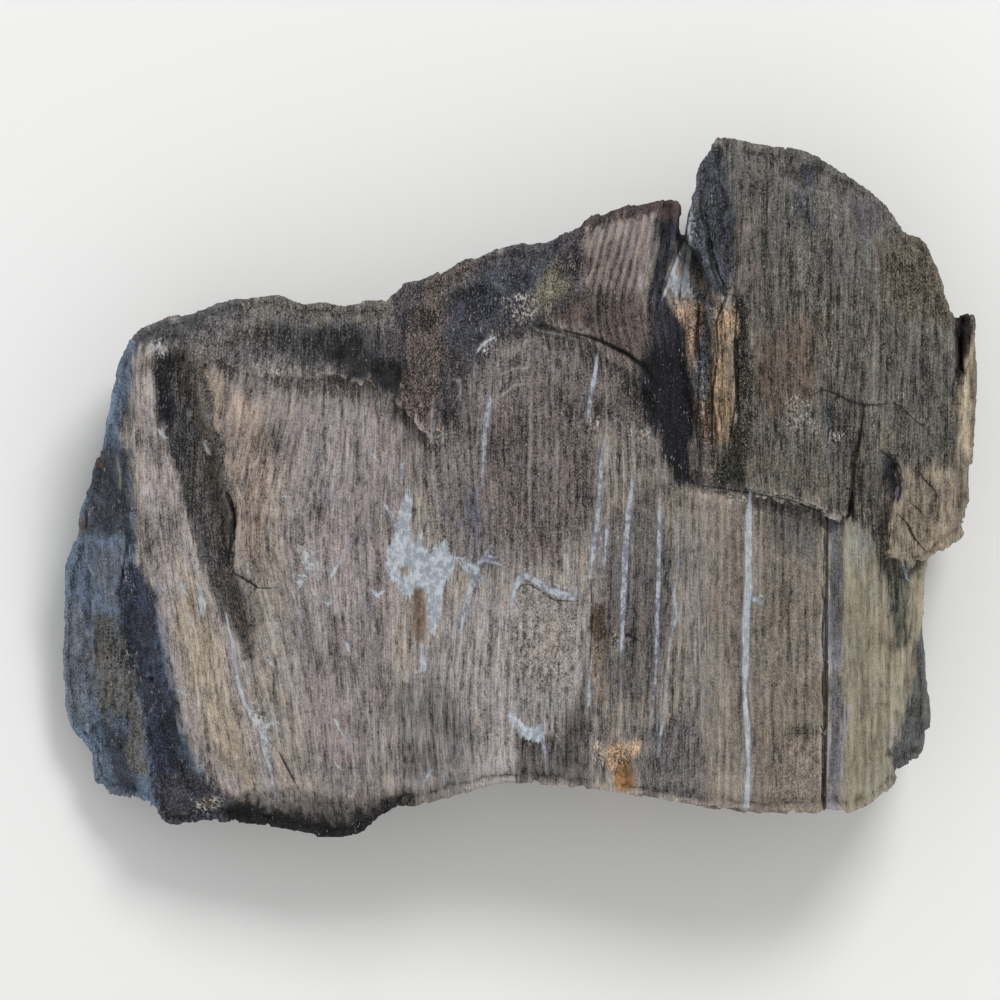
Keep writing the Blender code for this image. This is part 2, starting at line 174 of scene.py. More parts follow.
def onlySelect(piece):
    for other in bpy.context.selected_objects:
        other.select_set(False)
    piece.select_set(True)
    bpy.context.view_layer.objects.active = piece


def applyModifier(piece, kind, **settings):
    onlySelect(piece)
    modifier = piece.modifiers.new(kind.title(), kind)
    for name, value in settings.items():
        setattr(modifier, name, value)
    bpy.ops.object.modifier_apply(modifier=modifier.name)


def heightAt(tree, x, y):
    # height of the solid's front under a place, in mm
    heights = np.empty(len(x))
    down = Vector((0, 0, -1))
    for row, (placeX, placeY) in enumerate(zip(x * mm, y * mm)):
        hit = tree.ray_cast(Vector((placeX, placeY, 1.0)), down)[0]
        heights[row] = hit.z / mm if hit else np.nan
    return heights


# The mesh that carries the fine relief. It is finest across the grain, where the wood changes most.
stoneMesh = {"mergeDistance": 0.02, "firstGrid": 0.9, "smoothing": 6, "acrossGrain": 0.56,
             "alongGrain": 1.15, "triangles": 193000}


def fineCopy(solid):
    stone = bpy.data.objects.new("petrifiedWood", solid.data.copy())
    bpy.context.scene.collection.objects.link(stone)
    onlySelect(stone)
    bpy.ops.object.mode_set(mode="EDIT")
    bpy.ops.mesh.select_all(action="SELECT")
    bpy.ops.mesh.remove_doubles(threshold=stoneMesh["mergeDistance"] * mm)
    bpy.ops.object.mode_set(mode="OBJECT")
    applyModifier(stone, "REMESH", mode="VOXEL", voxel_size=stoneMesh["firstGrid"] * mm)
    applyModifier(stone, "SMOOTH", factor=0.5, iterations=stoneMesh["smoothing"])
    return stone


def finerGrid(stone):
    stretch = np.array([stoneMesh["alongGrain"] / stoneMesh["acrossGrain"], 1.0, 1.0])
    setPoints(stone.data, pointsOf(stone.data) * stretch)
    applyModifier(stone, "REMESH", mode="VOXEL", voxel_size=stoneMesh["alongGrain"] * mm)
    setPoints(stone.data, pointsOf(stone.data) / stretch)


# Layers that still cover the split face: their outlines in photo pixels, and the stretches of their
# edges that are cut sharp, with how fully
layerEdges = {
    "upper": {
        "outline": [
            (100, 362), (205, 362), (232, 367), (262, 373), (300, 378), (340, 378), (364, 384),
            (386, 393), (400, 406), (413, 421), (430, 440), (440, 426), (452, 404), (470, 380),
            (500, 346), (540, 327), (575, 337), (617, 367), (645, 392), (668, 425), (700, 440),
            (700, 100), (100, 100)],
        "cut": [
            (222, 365, 0.2), (262, 373, 0.5), (300, 378, 0.6), (340, 378, 0.9), (400, 406, 1.0),
            (430, 440, 1.0), (446, 415, 0.8), (458, 396, 0.0), (540, 327, 0.0), (575, 337, 0.7),
            (617, 367, 0.9), (650, 396, 0.5), (664, 415, 0.0)]},
    "right": {
        "outline": [
            (704, 486), (745, 494), (790, 500), (808, 505), (823, 514), (842, 518), (848, 503),
            (853, 478), (858, 447), (863, 410), (878, 404), (884, 430), (884, 454), (892, 461),
            (899, 485), (889, 506), (885, 561), (897, 564), (906, 573), (912, 558), (924, 561),
            (1010, 561), (1010, 100), (690, 100), (690, 240), (715, 285), (735, 295), (741, 400),
            (715, 465)],
        "cut": [
            (700, 478, 0.6), (712, 487, 1.0), (790, 500, 1.0), (842, 518, 1.0), (853, 478, 0.9),
            (860, 440, 0.5), (866, 408, 0.1), (884, 440, 0.2), (884, 454, 0.8), (899, 485, 0.9),
            (889, 506, 0.8), (885, 561, 0.9), (906, 573, 1.0), (924, 561, 0.9)]},
}
# In mm: how far a cut edge reaches and blends, how near to it points are drawn onto it, how it is
# jagged and worn, and the step that counts as a full one
layerCut = {"reach": 3.2, "blend": 1.2, "snap": 0.5, "lip": 0.12, "jag": 0.9, "jagSize": (5.5, 5.5, 9),
            "fineJag": 0.5, "fineJagSize": (2.3, 3.1, 9), "worn": 0.5, "wornReach": 0.6,
            "fullStep": 0.8, "probe": 0.4, "nearPixels": 14}


def inwardFrom(x, y, outline):
    # directions in the plane that lead into an outline
    probe = layerCut["probe"]
    towards = []
    for sideX, sideY in ((probe, 0.0), (0.0, probe)):
        ahead = depthInside(*toPixels(x + sideX, y + sideY), outline)
        behind = depthInside(*toPixels(x - sideX, y - sideY), outline)
        towards.append((ahead - behind) * photoView["mmPerPixel"] / (2.0 * probe))
    towards = np.column_stack(towards)
    return towards / np.maximum(np.hypot(towards[:, 0], towards[:, 1]), 0.3)[:, None]


def cutLayerEdges(mesh, tree):
    # each layer's edge becomes a step between the heights on its two sides
    points = pointsOf(mesh)
    facing = normalsOf(mesh)
    reach = layerCut["reach"] + layerCut["blend"]
    for turn, layer in enumerate(layerEdges.values()):
        pixelX, pixelY = toPixels(points[:, 0], points[:, 1])
        away, (sharpness,) = alongPath(pixelX, pixelY, layer["cut"])
        depth = depthInside(pixelX, pixelY, layer["outline"]) * photoView["mmPerPixel"]
        near = (away < layerCut["nearPixels"]) & (np.abs(depth) < reach) & (facing[:, 2] > 0.0)
        rows = np.flatnonzero(near)
        x, y, z = points[rows].T
        depth = depth[rows]
        towards = inwardFrom(x, y, layer["outline"])
        high = heightAt(tree, *(points[rows, :2] + towards * (layerCut["reach"] - depth)[:, None]).T)
        low = heightAt(tree, *(points[rows, :2] - towards * (layerCut["reach"] + depth)[:, None]).T)
        known = np.isfinite(high) & np.isfinite(low)
        high[~known] = low[~known] = z[~known]
        flat = np.column_stack([x, y, x * 0])
        edge = depth + layerCut["jag"] * softNoise(flat, layerCut["jagSize"], 31 + turn, 2)
        cell = cellPattern(flat, layerCut["fineJagSize"], 51 + turn, deep=False)[2]
        edge += layerCut["fineJag"] * (cell - 0.5) * 2.0
        worn = layerCut["worn"] * np.exp(-np.abs(edge) / layerCut["wornReach"])
        height = np.where(edge > 0.0, high - worn, low)
        weight = eased((reach - np.abs(depth)) / layerCut["blend"]) * known
        weight = weight * eased((high - low) / layerCut["fullStep"]) * sharpness[rows]
        snapped = (np.abs(edge) < layerCut["snap"]) & (weight > 0.5)
        shift = np.where(snapped, np.sign(edge) * layerCut["lip"] - edge, 0.0)
        points[rows, :2] += towards * shift[:, None]
        points[rows, 2] += weight * (height - points[rows, 2])
    setPoints(mesh, points)


# Cracks, cut into the relief and painted near-black, partly as painted shade: photo pixels, then half
# width and depth in mm
cracks = {
    "plateEdge": [
        (864, 404, 0.15, 0.4), (859, 440, 0.35, 1.2), (853, 470, 0.6, 2.2), (848, 514, 0.8, 2.4)],
    "plateHairline": [
        (812, 395, 0.1, 0.2), (822, 390, 0.14, 0.4), (836, 394, 0.16, 0.5), (848, 401, 0.2, 0.6),
        (862, 405, 0.2, 0.6), (876, 405, 0.1, 0.4), (893, 403, 0.12, 0.4), (902, 409, 0.16, 0.5),
        (914, 420, 0.14, 0.4), (924, 428, 0.1, 0.3), (931, 436, 0.05, 0.1)],
    "besideViolet": [
        (827, 514, 0.35, 1.2), (826, 600, 0.5, 1.8), (826, 700, 0.55, 2.0), (824, 808, 0.5, 1.6)],
    "flakeFirst": [
        (918, 470, 0.06, 0.2), (924, 480, 0.14, 0.5), (933, 489, 0.18, 0.7), (939, 499, 0.08, 0.3)],
    "flakeSecond": [(906, 500, 0.06, 0.2), (917, 508, 0.16, 0.6), (927, 520, 0.08, 0.3)],
    "flakeThird": [
        (898, 514, 0.1, 0.3), (908, 525, 0.22, 0.9), (914, 538, 0.18, 0.9), (926, 552, 0.1, 0.5)],
    "leafHole": [
        (882, 452, 0.2, 0.4), (891, 459, 0.55, 0.9), (897, 472, 0.6, 1.1), (900, 488, 0.4, 0.9),
        (897, 502, 0.1, 0.3)],
    # painted shadow along the main face's edge in the groove, also cut into the relief
    "grooveEdgeShadowCrack": [
        (226, 492, 0.3, 0.8), (233, 512, 0.6, 2.0), (232, 540, 0.6, 2.0), (227, 566, 0.3, 0.7)],
    "grooveBranch": [
        (236, 574, 0.2, 0.5), (250, 582, 0.3, 0.8), (258, 588, 0.25, 0.6), (272, 588, 0.1, 0.3)],
    "fissureGap": [
        (680, 243, 0.4, 3.0), (675, 262, 0.4, 2.6), (668, 280, 0.35, 2.0), (661, 296, 0.3, 0.9)],
    "fissureSpine": [
        (700, 205, 0.3, 0.8), (707, 240, 0.4, 1.2), (713, 272, 0.5, 1.4), (724, 296, 0.3, 0.8)],
    "fissureSplit": [
        (699, 306, 0.3, 0.5), (697, 334, 0.5, 0.9), (700, 362, 0.4, 0.8), (698, 396, 0.25, 0.5)],
    "fissureCentre": [
        (724, 300, 0.3, 0.5), (716, 322, 0.25, 0.5), (718, 352, 0.3, 0.6), (712, 392, 0.35, 0.7),
        (712, 444, 0.25, 0.5)],
    "besideRust": [
        (737, 300, 0.2, 0.8), (734, 350, 0.35, 1.2), (736, 400, 0.3, 1.2), (728, 450, 0.2, 0.7)],
    "hookUnder": [
        (515, 594, 0.1, 0.3), (521, 585, 0.14, 0.5), (530, 584, 0.14, 0.5), (539, 590, 0.14, 0.5),
        (554, 600, 0.14, 0.5), (573, 601, 0.1, 0.3)],
    # painted shadow line along the lobe's crease, also cut shallow into the relief
    "lobeCreaseShadowCrack": [
        (566, 331, 0.2, 0.4), (595, 339, 0.45, 1.0), (625, 353, 0.6, 1.4), (650, 372, 0.55, 1.2),
        (668, 392, 0.3, 0.6)],
    "lowLeftCrack": [(275, 745, 0.1, 0.3), (286, 765, 0.2, 0.6), (300, 792, 0.1, 0.4)],
    # the foot of the plate's ledge, cut as a trench and painted near-black as painted shadow under it
    "ledgeFootShadowCrack": [
        (704, 486, 0.15, 0.5), (745, 492, 0.3, 0.6), (790, 500, 0.3, 0.6), (823, 513, 0.15, 0.5)],
    "shortCross": [(617, 637, 0.1, 0.3), (628, 635, 0.35, 0.8), (638, 640, 0.1, 0.3)],
    "stepLine": [(779, 735, 0.05, 0.2), (790, 733, 0.1, 0.3), (822, 733, 0.1, 0.3)],
    "bandStep": [(591, 580, 0.1, 0.3), (592, 620, 0.2, 0.8), (590, 660, 0.1, 0.4)],
    "edgeCrackLow": [(128, 532, 0.1, 0.3), (124, 560, 0.2, 0.8), (120, 590, 0.1, 0.3)],
}
# They wander by some pixels, in lumps of a size in mm
crackWander = {"pixels": 1.6, "size": (2.2, 2.2, 9)}


def cutCracks(points, front):
    drop = np.zeros(len(points))
    pixelX, pixelY = toPixels(points[:, 0], points[:, 1])
    wander = crackWander["pixels"] * softNoise(points * (1, 1, 0), crackWander["size"], 71, 2)
    for path in cracks.values():
        distance, (halfWidth, depth) = alongPath(pixelX + wander, pixelY + wander, path)
        distance *= photoView["mmPerPixel"]
        drop = np.maximum(drop, depth * eased(1.5 - distance / halfWidth))
    return drop * front


# Fibres lean and bend in places: photo pixels of the middle, reach across and along, and slant
fibreLeans = {
    "lowerLeft": {"at": (235, 690), "reach": (95, 190), "slant": 0.24},
    "leftStrip": {"at": (165, 500), "reach": (60, 170), "slant": 0.16},
    "lobe": {"at": (615, 250), "reach": (75, 70), "slant": -0.26},
    "belowStar": {"at": (455, 620), "reach": (45, 110), "slant": -0.12},
    "stripes": {"at": (655, 620), "reach": (45, 130), "slant": -0.05},
}
# Everywhere they bend a little, in mm
fibreBend = {"depth": 0.8, "size": (26, 60, 9)}


def grainPlaces(points):
    # place across the grain, along it and through the stone, in mm
    x, y, z = points.T
    pixelX, pixelY = toPixels(x, y)
    across = x + fibreBend["depth"] * softNoise(points * (1, 1, 0), fibreBend["size"], 5, 2)
    for lean in fibreLeans.values():
        offX = (pixelX - lean["at"][0]) / lean["reach"][0]
        offY = (pixelY - lean["at"][1]) / lean["reach"][1]
        along = (pixelY - lean["at"][1]) * photoView["mmPerPixel"]
        share = np.exp(-(offX**2) - np.clip(np.abs(offY) - 0.5, 0, None) ** 2 * 2)
        across -= lean["slant"] * along * share
    return np.column_stack([across, y, z])


# How deep the split wood's own relief is, in mm: sizes are across the grain, along it and through
woodRelief = {
    "laths": {"size": (3.6, 34.0, 14.0), "depth": 0.45},
    "splinters": {"size": (1.5, 12.0, 8.0), "depth": 0.34},
    "ribs": {"size": (1.1, 9.0, 7.0), "depth": 0.5},
    "swells": {"size": (7.5, 36.0, 16.0), "depth": 0.6},
    "grit": {"size": (1.25, 1.7, 1.25), "depth": 0.7},
    "facets": {"size": (6.5, 8.5, 7.0), "depth": 1.6},
    "smallFacets": {"size": (2.4, 3.4, 2.6), "depth": 0.8},
    "wallFacets": {"size": (7.5, 11.0, 8.0), "depth": 2.2},
}
# How facets bend, how wide the grooves are for their cells, how far in mm the walls are pushed out so
# that the outline meets the photo's, and how much of the relief glass loses and back and walls keep
reliefShape = {"facetBend": 0.25, "bendSize": (6, 6, 6), "grooveWidth": 0.12, "wallOut": 2.6,
               "lostOnGlass": 0.8, "onBack": 0.9, "onWall": 0.6, "wallChips": 0.6,
               "frontFrom": 0.15, "frontOver": 0.35}


def facetDrop(places, name, seed):
    # angular breaks: tilted flats that meet in sharp ridges
    part = woodRelief[name]
    bent = places + reliefShape["facetBend"] * part["size"][0] * np.column_stack(
        [softNoise(places, reliefShape["bendSize"], seed + turn) for turn in (1, 2, 3)])
    return part["depth"] * (0.5 + cellPattern(bent, part["size"], seed)[3])


def reliefDrop(points, facing, state):
    # how far each point sinks below the solid's skin, in mm
    places = grainPlaces(points)
    glassy, gritty = state[:, 0], state[:, 1]
    dull = 1.0 - reliefShape["lostOnGlass"] * glassy
    front = eased((facing[:, 2] - reliefShape["frontFrom"]) / reliefShape["frontOver"])
    back = eased((-facing[:, 2] - reliefShape["frontFrom"]) / reliefShape["frontOver"])
    wall = 1.0 - front - back
    sideways = eased(2.0 * np.abs(facing[:, 0]) - 0.4)
    woody = front * dull + reliefShape["onBack"] * back + reliefShape["onWall"] * wall * sideways
    drop = np.zeros(len(points))
    for seed, name in enumerate(("laths", "splinters")):
        part = woodRelief[name]
        nearest, second, number, _ = cellPattern(places, part["size"], 101 + seed)
        groove = np.exp(-((second - nearest) / reliefShape["grooveWidth"]) ** 2)
        drop += woody * part["depth"] * (0.75 * number + 0.45 * groove)
    for seed, name in enumerate(("ribs", "swells")):
        part = woodRelief[name]
        drop += woody * part["depth"] * (0.5 + 0.5 * softNoise(places, part["size"], 131 + seed, 2))
    part = woodRelief["grit"]
    nearest, _, number, _ = cellPattern(points, part["size"], 151)
    pitted = number * eased(1.3 - 1.4 * nearest) * dull
    drop += part["depth"] * (0.2 + 0.8 * gritty) * pitted
    chipped = glassy * np.maximum(front, 0.3)
    drop += chipped * (facetDrop(points, "facets", 163) + facetDrop(points, "smallFacets", 183))
    drop += wall * facetDrop(points, "wallFacets", 171)
    drop += reliefShape["wallChips"] * wall * facetDrop(points, "smallFacets", 191)
    drop -= reliefShape["wallOut"] * wall
    return drop + cutCracks(points, front)


def hollowness(mesh, points, facing, rounds):
    # how far each point lies below the points round it
    edges = np.empty(len(mesh.edges) * 2, dtype=np.int64)
    mesh.edges.foreach_get("vertices", edges)
    first, second = edges.reshape(-1, 2).T
    count = np.bincount(first, minlength=len(points)) + np.bincount(second, minlength=len(points))
    mean = points
    for turn in range(rounds):
        total = np.column_stack([
            np.bincount(first, mean[second, side], len(points))
            + np.bincount(second, mean[first, side], len(points)) for side in range(3)])
        mean = total / np.maximum(count, 1)[:, None]
    return ((mean - points) * facing).sum(axis=1)


# In mm: where the notch lies, how wide it is closed, and how the closing fades above and below
notchSqueeze = {"middle": 49.3, "reach": 3.2, "low": 70.0, "high": 89.0, "fadeLow": 3.0,
                "fadeHigh": 9.0, "share": 0.5}


def squeezeNotch(points):
    # the notch between the two upper lobes closes to a narrow point
    x, y = points[:, 0], points[:, 1]
    away = x - notchSqueeze["middle"]
    share = eased((notchSqueeze["high"] - y) / notchSqueeze["fadeHigh"])
    share *= eased((y - notchSqueeze["low"]) / notchSqueeze["fadeLow"])
    shift = notchSqueeze["share"] * share * away * np.exp(-((away / notchSqueeze["reach"]) ** 2))
    return points - np.column_stack([shift, shift * 0, shift * 0])


def keepInside(points, gap=0.02):
    # the finished skin stays within the solid's own box
    low, high = (np.array(corner) / mm for corner in cadBox)
    return np.clip(points, low + gap, high - gap)


# Zones of the stone, each laid over those before it: colour, softness of the border in mm, how
# streaky, layered and speckled the figure is, how glassy and how gritty the surface is, and the
# outline in photo pixels
stoneBase = ("#968e87", (0.8, 0.1, 0.6), (0.0, 0.2))
stoneZones = {
    "faceTop": ("#827a76", 10, (0.8, 0.1, 0.6), (0.0, 0.2), [
        (215, 360), (440, 360), (450, 470), (400, 500), (330, 470), (215, 450)]),
    "faceViolet": ("#908787", 12, (0.8, 0.1, 0.6), (0.0, 0.2), [
        (290, 420), (390, 400), (400, 520), (380, 760), (330, 800), (290, 640)]),
    "centre": ("#716b6a", 9, (0.7, 0.5, 0.9), (0.0, 0.35), [
        (440, 380), (500, 346), (575, 335), (640, 370), (655, 480), (600, 520), (560, 560), (500, 580),
        (450, 560), (420, 470)]),
    "centreDark": ("#675f5c", 7, (0.7, 0.8, 1.0), (0.0, 0.5), [
        (480, 400), (530, 375), (560, 340), (620, 345), (655, 390), (640, 470), (600, 500), (560, 560),
        (490, 540), (476, 470)]),
    "belowCentre": ("#96908e", 9, (0.8, 0.3, 0.6), (0.0, 0.3), [
        (450, 600), (520, 600), (590, 600), (595, 770), (540, 785), (470, 790), (400, 800),
        (410, 700)]),
    "lowGrey": ("#7d7877", 8, (0.9, 0.3, 0.4), (0.0, 0.3), [
        (400, 690), (440, 680), (470, 720), (470, 800), (395, 810)]),
    "violetHaze": ("#6b6972", 4, (0.5, 0.2, 0.7), (0.0, 0.3), [
        (464, 494), (480, 492), (483, 530), (476, 550), (466, 530)]),
    "blobShade": ("#5b5654", 4, (0.9, 0.5, 0.6), (0.0, 0.4), [
        (514, 730), (560, 735), (590, 650), (594, 720), (590, 785), (515, 782)]),
    "granularTan": ("#938c87", 9, (0.2, 0.1, 1.1), (0.0, 1.0), [
        (514, 592), (575, 600), (580, 640), (570, 690), (530, 694), (515, 660)]),
    "midStripes": ("#807972", 4, (0.8, 0.8, 0.6), (0.0, 0.3), [
        (590, 430), (640, 440), (705, 480), (708, 800), (600, 775), (592, 600)]),
    "midDark": ("#625d5b", 5, (0.7, 0.6, 0.7), (0.0, 0.3), [
        (606, 520), (655, 490), (672, 560), (664, 640), (650, 700), (610, 700), (604, 610)]),
    "midLow": ("#625e5e", 4, (0.9, 0.4, 0.8), (0.0, 0.4), [
        (645, 740), (690, 700), (704, 740), (706, 802), (640, 792)]),
    "rightLower": ("#817970", 3, (0.35, 0.7, 0.6), (0.0, 0.2), [
        (704, 490), (760, 496), (815, 508), (824, 520), (823, 820), (704, 820)]),
    "greenishLower": ("#7c7469", 6, (0.35, 0.6, 0.65), (0.0, 0.3), [
        (760, 520), (826, 520), (826, 820), (756, 820)]),
    "ledgeShade": ("#5f5b57", 4, (0.6, 0.5, 0.7), (0.0, 0.3), [
        (770, 500), (812, 508), (822, 520), (815, 560), (780, 550), (768, 520)]),
    "violetBand": ("#908d92", 1, (0.25, 0.1, 0.4), (0.1, 0.0), [
        (828, 510), (842, 514), (843, 600), (842, 820), (826, 820), (827, 600)]),
    "oliveBand": ("#8c8574", 2, (0.3, 0.35, 0.3), (0.0, 0.0), [
        (842, 470), (882, 470), (900, 560), (928, 555), (926, 700), (890, 720), (885, 820),
        (842, 820)]),
    # painted highlight along the rounded rib
    "ribHighlight": ("#86877f", 5, (0.8, 0.3, 0.5), (0.2, 0.1), [
        (851, 480), (870, 482), (868, 545), (862, 575), (848, 560)]),
    "blueGreenStreaks": ("#57574e", 3, (0.9, 0.4, 0.4), (0.1, 0.3), [
        (868, 455), (884, 470), (892, 540), (914, 560), (912, 640), (896, 650), (880, 560)]),
    "lowerRightFacet": ("#4f504e", 2, (0.4, 0.2, 0.6), (0.5, 0.2), [
        (921, 630), (945, 640), (945, 765), (885, 830), (892, 745), (903, 705)]),
    "rightPlate": ("#5e5a53", 4, (0.9, 0.4, 0.8), (0.0, 0.4), [
        (738, 120), (830, 120), (960, 200), (1000, 300), (1000, 600), (925, 562), (890, 560),
        (850, 515), (800, 500), (705, 485), (740, 420), (735, 300)]),
    "plateTop": ("#5a5854", 8, (0.8, 0.2, 0.8), (0.1, 0.4), [
        (705, 110), (800, 110), (880, 160), (900, 230), (870, 300), (800, 280), (740, 260)]),
    "plateRed": ("#655d58", 4, (0.7, 0.2, 0.7), (0.0, 0.4), [
        (734, 225), (754, 220), (760, 290), (750, 330), (736, 300)]),
    "plateNavy": ("#3a3c43", 3, (0.7, 0.2, 0.8), (0.4, 0.2), [
        (797, 164), (810, 170), (813, 225), (805, 240), (799, 210)]),
    "platePale": ("#77756d", 6, (0.6, 0.1, 0.9), (0.0, 0.6), [
        (792, 240), (812, 236), (812, 300), (796, 296)]),
    "plateBrown": ("#60554c", 6, (0.9, 0.3, 0.7), (0.0, 0.4), [
        (760, 330), (812, 320), (818, 400), (770, 420), (752, 380)]),
    "plateViolet": ("#4c4a4d", 5, (0.6, 0.1, 0.5), (0.1, 0.2), [
        (852, 200), (880, 205), (876, 235), (855, 232)]),
    "plateRust": ("#5e5750", 4, (0.8, 0.1, 0.6), (0.0, 0.3), [
        (876, 240), (890, 245), (888, 290), (878, 284)]),
    "plateGranular": ("#565046", 5, (0.5, 0.1, 1.1), (0.1, 0.9), [
        (890, 232), (960, 240), (960, 320), (905, 325), (888, 290)]),
    "plateMoss": ("#595751", 6, (0.8, 0.2, 0.8), (0.0, 0.5), [
        (884, 325), (960, 322), (962, 460), (900, 455), (880, 400)]),
    "platePatch": ("#4d4c4b", 5, (0.7, 0.2, 0.8), (0.0, 0.4), [
        (820, 398), (848, 400), (850, 460), (825, 470)]),
    "subPlate": ("#877d6e", 3, (0.8, 0.3, 0.6), (0.0, 0.3), [
        (890, 486), (905, 468), (965, 470), (970, 540), (925, 565), (886, 560)]),
    "leafHole": ("#4a4a50", 1.5, (0.4, 0.0, 0.5), (0.1, 0.1), [
        (880, 452), (892, 460), (899, 484), (895, 505), (884, 490)]),
    "crumbs": ("#3a3933", 2.5, (0.3, 0.0, 2.0), (0.0, 1.0), [
        (731, 300), (748, 296), (752, 380), (750, 440), (738, 486), (716, 484), (728, 430),
        (733, 380)]),
    "flake": ("#736b5e", 1.5, (0.8, 0.2, 0.5), (0.0, 0.2), [
        (966, 330), (990, 316), (990, 440), (974, 545), (950, 545), (958, 440)]),
    "flakePale": ("#b0a48e", 1.5, (0.6, 0.0, 0.4), (0.0, 0.1), [
        (964, 345), (971, 335), (971, 420), (966, 470), (962, 420)]),
    # painted shade in the gap behind the flake
    "flakeGapShade": ("#2a2322", 1, (0.3, 0.0, 0.4), (0.1, 0.2), [
        (950, 318), (970, 312), (970, 335), (963, 375), (956, 385), (953, 350)]),
    "notchFacet": ("#42444b", 2, (0.3, 0.0, 1.2), (1.0, 0.1), [
        (700, 130), (722, 150), (735, 220), (738, 270), (730, 300), (708, 290), (690, 250),
        (690, 190)]),
    "fissureFill": ("#857970", 1.5, (0.6, 0.0, 1.5), (0.1, 0.8), [
        (664, 300), (680, 286), (700, 290), (730, 300), (735, 400), (725, 450), (706, 480), (700, 400),
        (684, 345)]),
    "fissureBlue": ("#60656f", 2, (0.6, 0.0, 1.6), (0.3, 0.5), [
        (694, 290), (710, 298), (706, 400), (704, 470), (698, 440), (692, 370), (696, 330)]),
    "fissureRust": ("#ab9379", 1.2, (1.2, 0.0, 1.2), (0.0, 0.6), [
        (719, 306), (732, 304), (733, 400), (727, 440), (716, 452), (712, 400), (713, 350),
        (716, 330)]),
    "fissureRustLow": ("#8f7762", 1, (1.0, 0.0, 1.2), (0.0, 0.6), [
        (698, 404), (706, 402), (712, 440), (706, 454), (700, 432)]),
    "fissureCream": ("#a89e90", 1, (0.8, 0.0, 1.4), (0.0, 0.5), [
        (718, 295), (724, 299), (715, 318), (717, 340), (715, 354), (708, 352), (709, 325),
        (710, 308)]),
    "fissureTan": ("#c3a68f", 1, (0.6, 0.0, 1.5), (0.0, 0.7), [
        (666, 304), (690, 293), (699, 308), (697, 332), (691, 358), (684, 347), (679, 328)]),
    "blueShadow": ("#0e0e16", 6, (1.1, 0.3, 1.0), (0.5, 0.2), [
        (652, 296), (680, 320), (698, 400), (703, 484), (680, 486), (654, 446), (634, 400),
        (636, 350)]),
    "lobeStripes": ("#7c726e", 4, (0.5, 1.5, 0.5), (0.0, 0.2), [
        (588, 232), (620, 200), (652, 205), (650, 260), (632, 300), (600, 300), (582, 270)]),
    "lobeBrown": ("#544b47", 6, (0.6, 0.9, 0.7), (0.0, 0.3), [
        (556, 280), (600, 296), (650, 290), (655, 340), (630, 370), (580, 335), (550, 320)]),
    "lobeTip": ("#24242b", 4, (0.6, 0.8, 0.6), (0.6, 0.1), [
        (655, 190), (686, 195), (684, 240), (665, 296), (682, 345), (655, 345), (648, 290)]),
    "lobeTopDark": ("#413a38", 1.5, (0.6, 0.3, 0.7), (0.2, 0.3), [
        (552, 222), (600, 205), (640, 196), (690, 190), (686, 216), (655, 217), (622, 222), (596, 232),
        (578, 246), (560, 246)]),
    "lobeRim": ("#443838", 3, (0.4, 0.3, 0.5), (0.4, 0.1), [
        (640, 195), (682, 190), (684, 212), (660, 220), (640, 216)]),
    "upperMiddle": ("#3d3a3d", 4, (0.5, 0.1, 1.2), (0.6, 0.5), [
        (388, 285), (470, 250), (550, 230), (585, 226), (580, 290), (548, 330), (500, 344), (470, 378),
        (450, 420), (425, 425), (398, 395), (385, 340)]),
    "upperMiddleBrown": ("#534a45", 5, (0.4, 0.1, 1.5), (0.3, 0.6), [
        (408, 320), (430, 276), (468, 258), (474, 290), (446, 330), (438, 400), (412, 380)]),
    "upperMiddleCream": ("#6f6a5c", 5, (0.4, 0.1, 1.4), (0.1, 0.7), [
        (540, 262), (566, 262), (570, 290), (548, 318), (532, 300)]),
    "upperMiddleNavy": ("#33353d", 6, (0.4, 0.1, 1.3), (0.8, 0.3), [
        (450, 290), (500, 270), (545, 250), (560, 262), (510, 310), (470, 350), (448, 340)]),
    "upperBand": ("#575353", 3, (0.8, 0.1, 1.1), (0.4, 0.5), [
        (150, 320), (240, 285), (300, 290), (345, 300), (385, 285), (400, 395), (364, 384), (300, 374),
        (232, 367), (205, 360), (165, 368)]),
    "upperOlive": ("#54524d", 5, (1.0, 0.2, 1.2), (0.2, 0.5), [
        (240, 295), (300, 295), (345, 300), (390, 290), (392, 318), (330, 326), (300, 322),
        (262, 345)]),
    "upperBlack": ("#3e3e40", 5, (0.7, 0.1, 0.8), (0.5, 0.3), [
        (278, 322), (330, 325), (385, 330), (400, 390), (364, 382), (340, 372), (300, 368),
        (280, 350)]),
    # painted shadow under the upper band's ledge
    "ledgeShadowLens": ("#242326", 2.5, (0.4, 0.0, 0.4), (0.4, 0.1), [
        (328, 352), (370, 356), (402, 368), (410, 415), (398, 398), (380, 388), (350, 378),
        (332, 366)]),
    "ledgeRed": ("#524945", 2, (0.3, 0.0, 1.5), (0.2, 0.6), [
        (403, 368), (432, 372), (434, 415), (428, 434), (412, 415), (404, 395)]),
    "brownStrip": ("#9d9491", 3, (0.8, 0.2, 0.7), (0.0, 0.2), [
        (134, 352), (158, 380), (162, 430), (182, 480), (203, 560), (225, 640), (258, 745), (275, 800),
        (235, 790), (205, 780), (180, 725), (162, 640), (147, 560), (140, 480), (127, 440),
        (130, 385)]),
    "stripTan": ("#a29788", 5, (0.8, 0.2, 0.6), (0.0, 0.2), [
        (180, 560), (205, 600), (225, 680), (250, 760), (262, 796), (225, 770), (196, 700),
        (176, 630)]),
    "stripViolet": ("#8a8689", 2.5, (0.6, 0.1, 0.5), (0.1, 0.1), [
        (148, 570), (160, 590), (168, 650), (178, 710), (172, 712), (160, 655), (152, 610)]),
    "groove": ("#545252", 2.5, (1.0, 0.0, 1.2), (0.2, 0.9), [
        (158, 345), (207, 352), (216, 405), (225, 440), (228, 470), (238, 500), (232, 545), (236, 600),
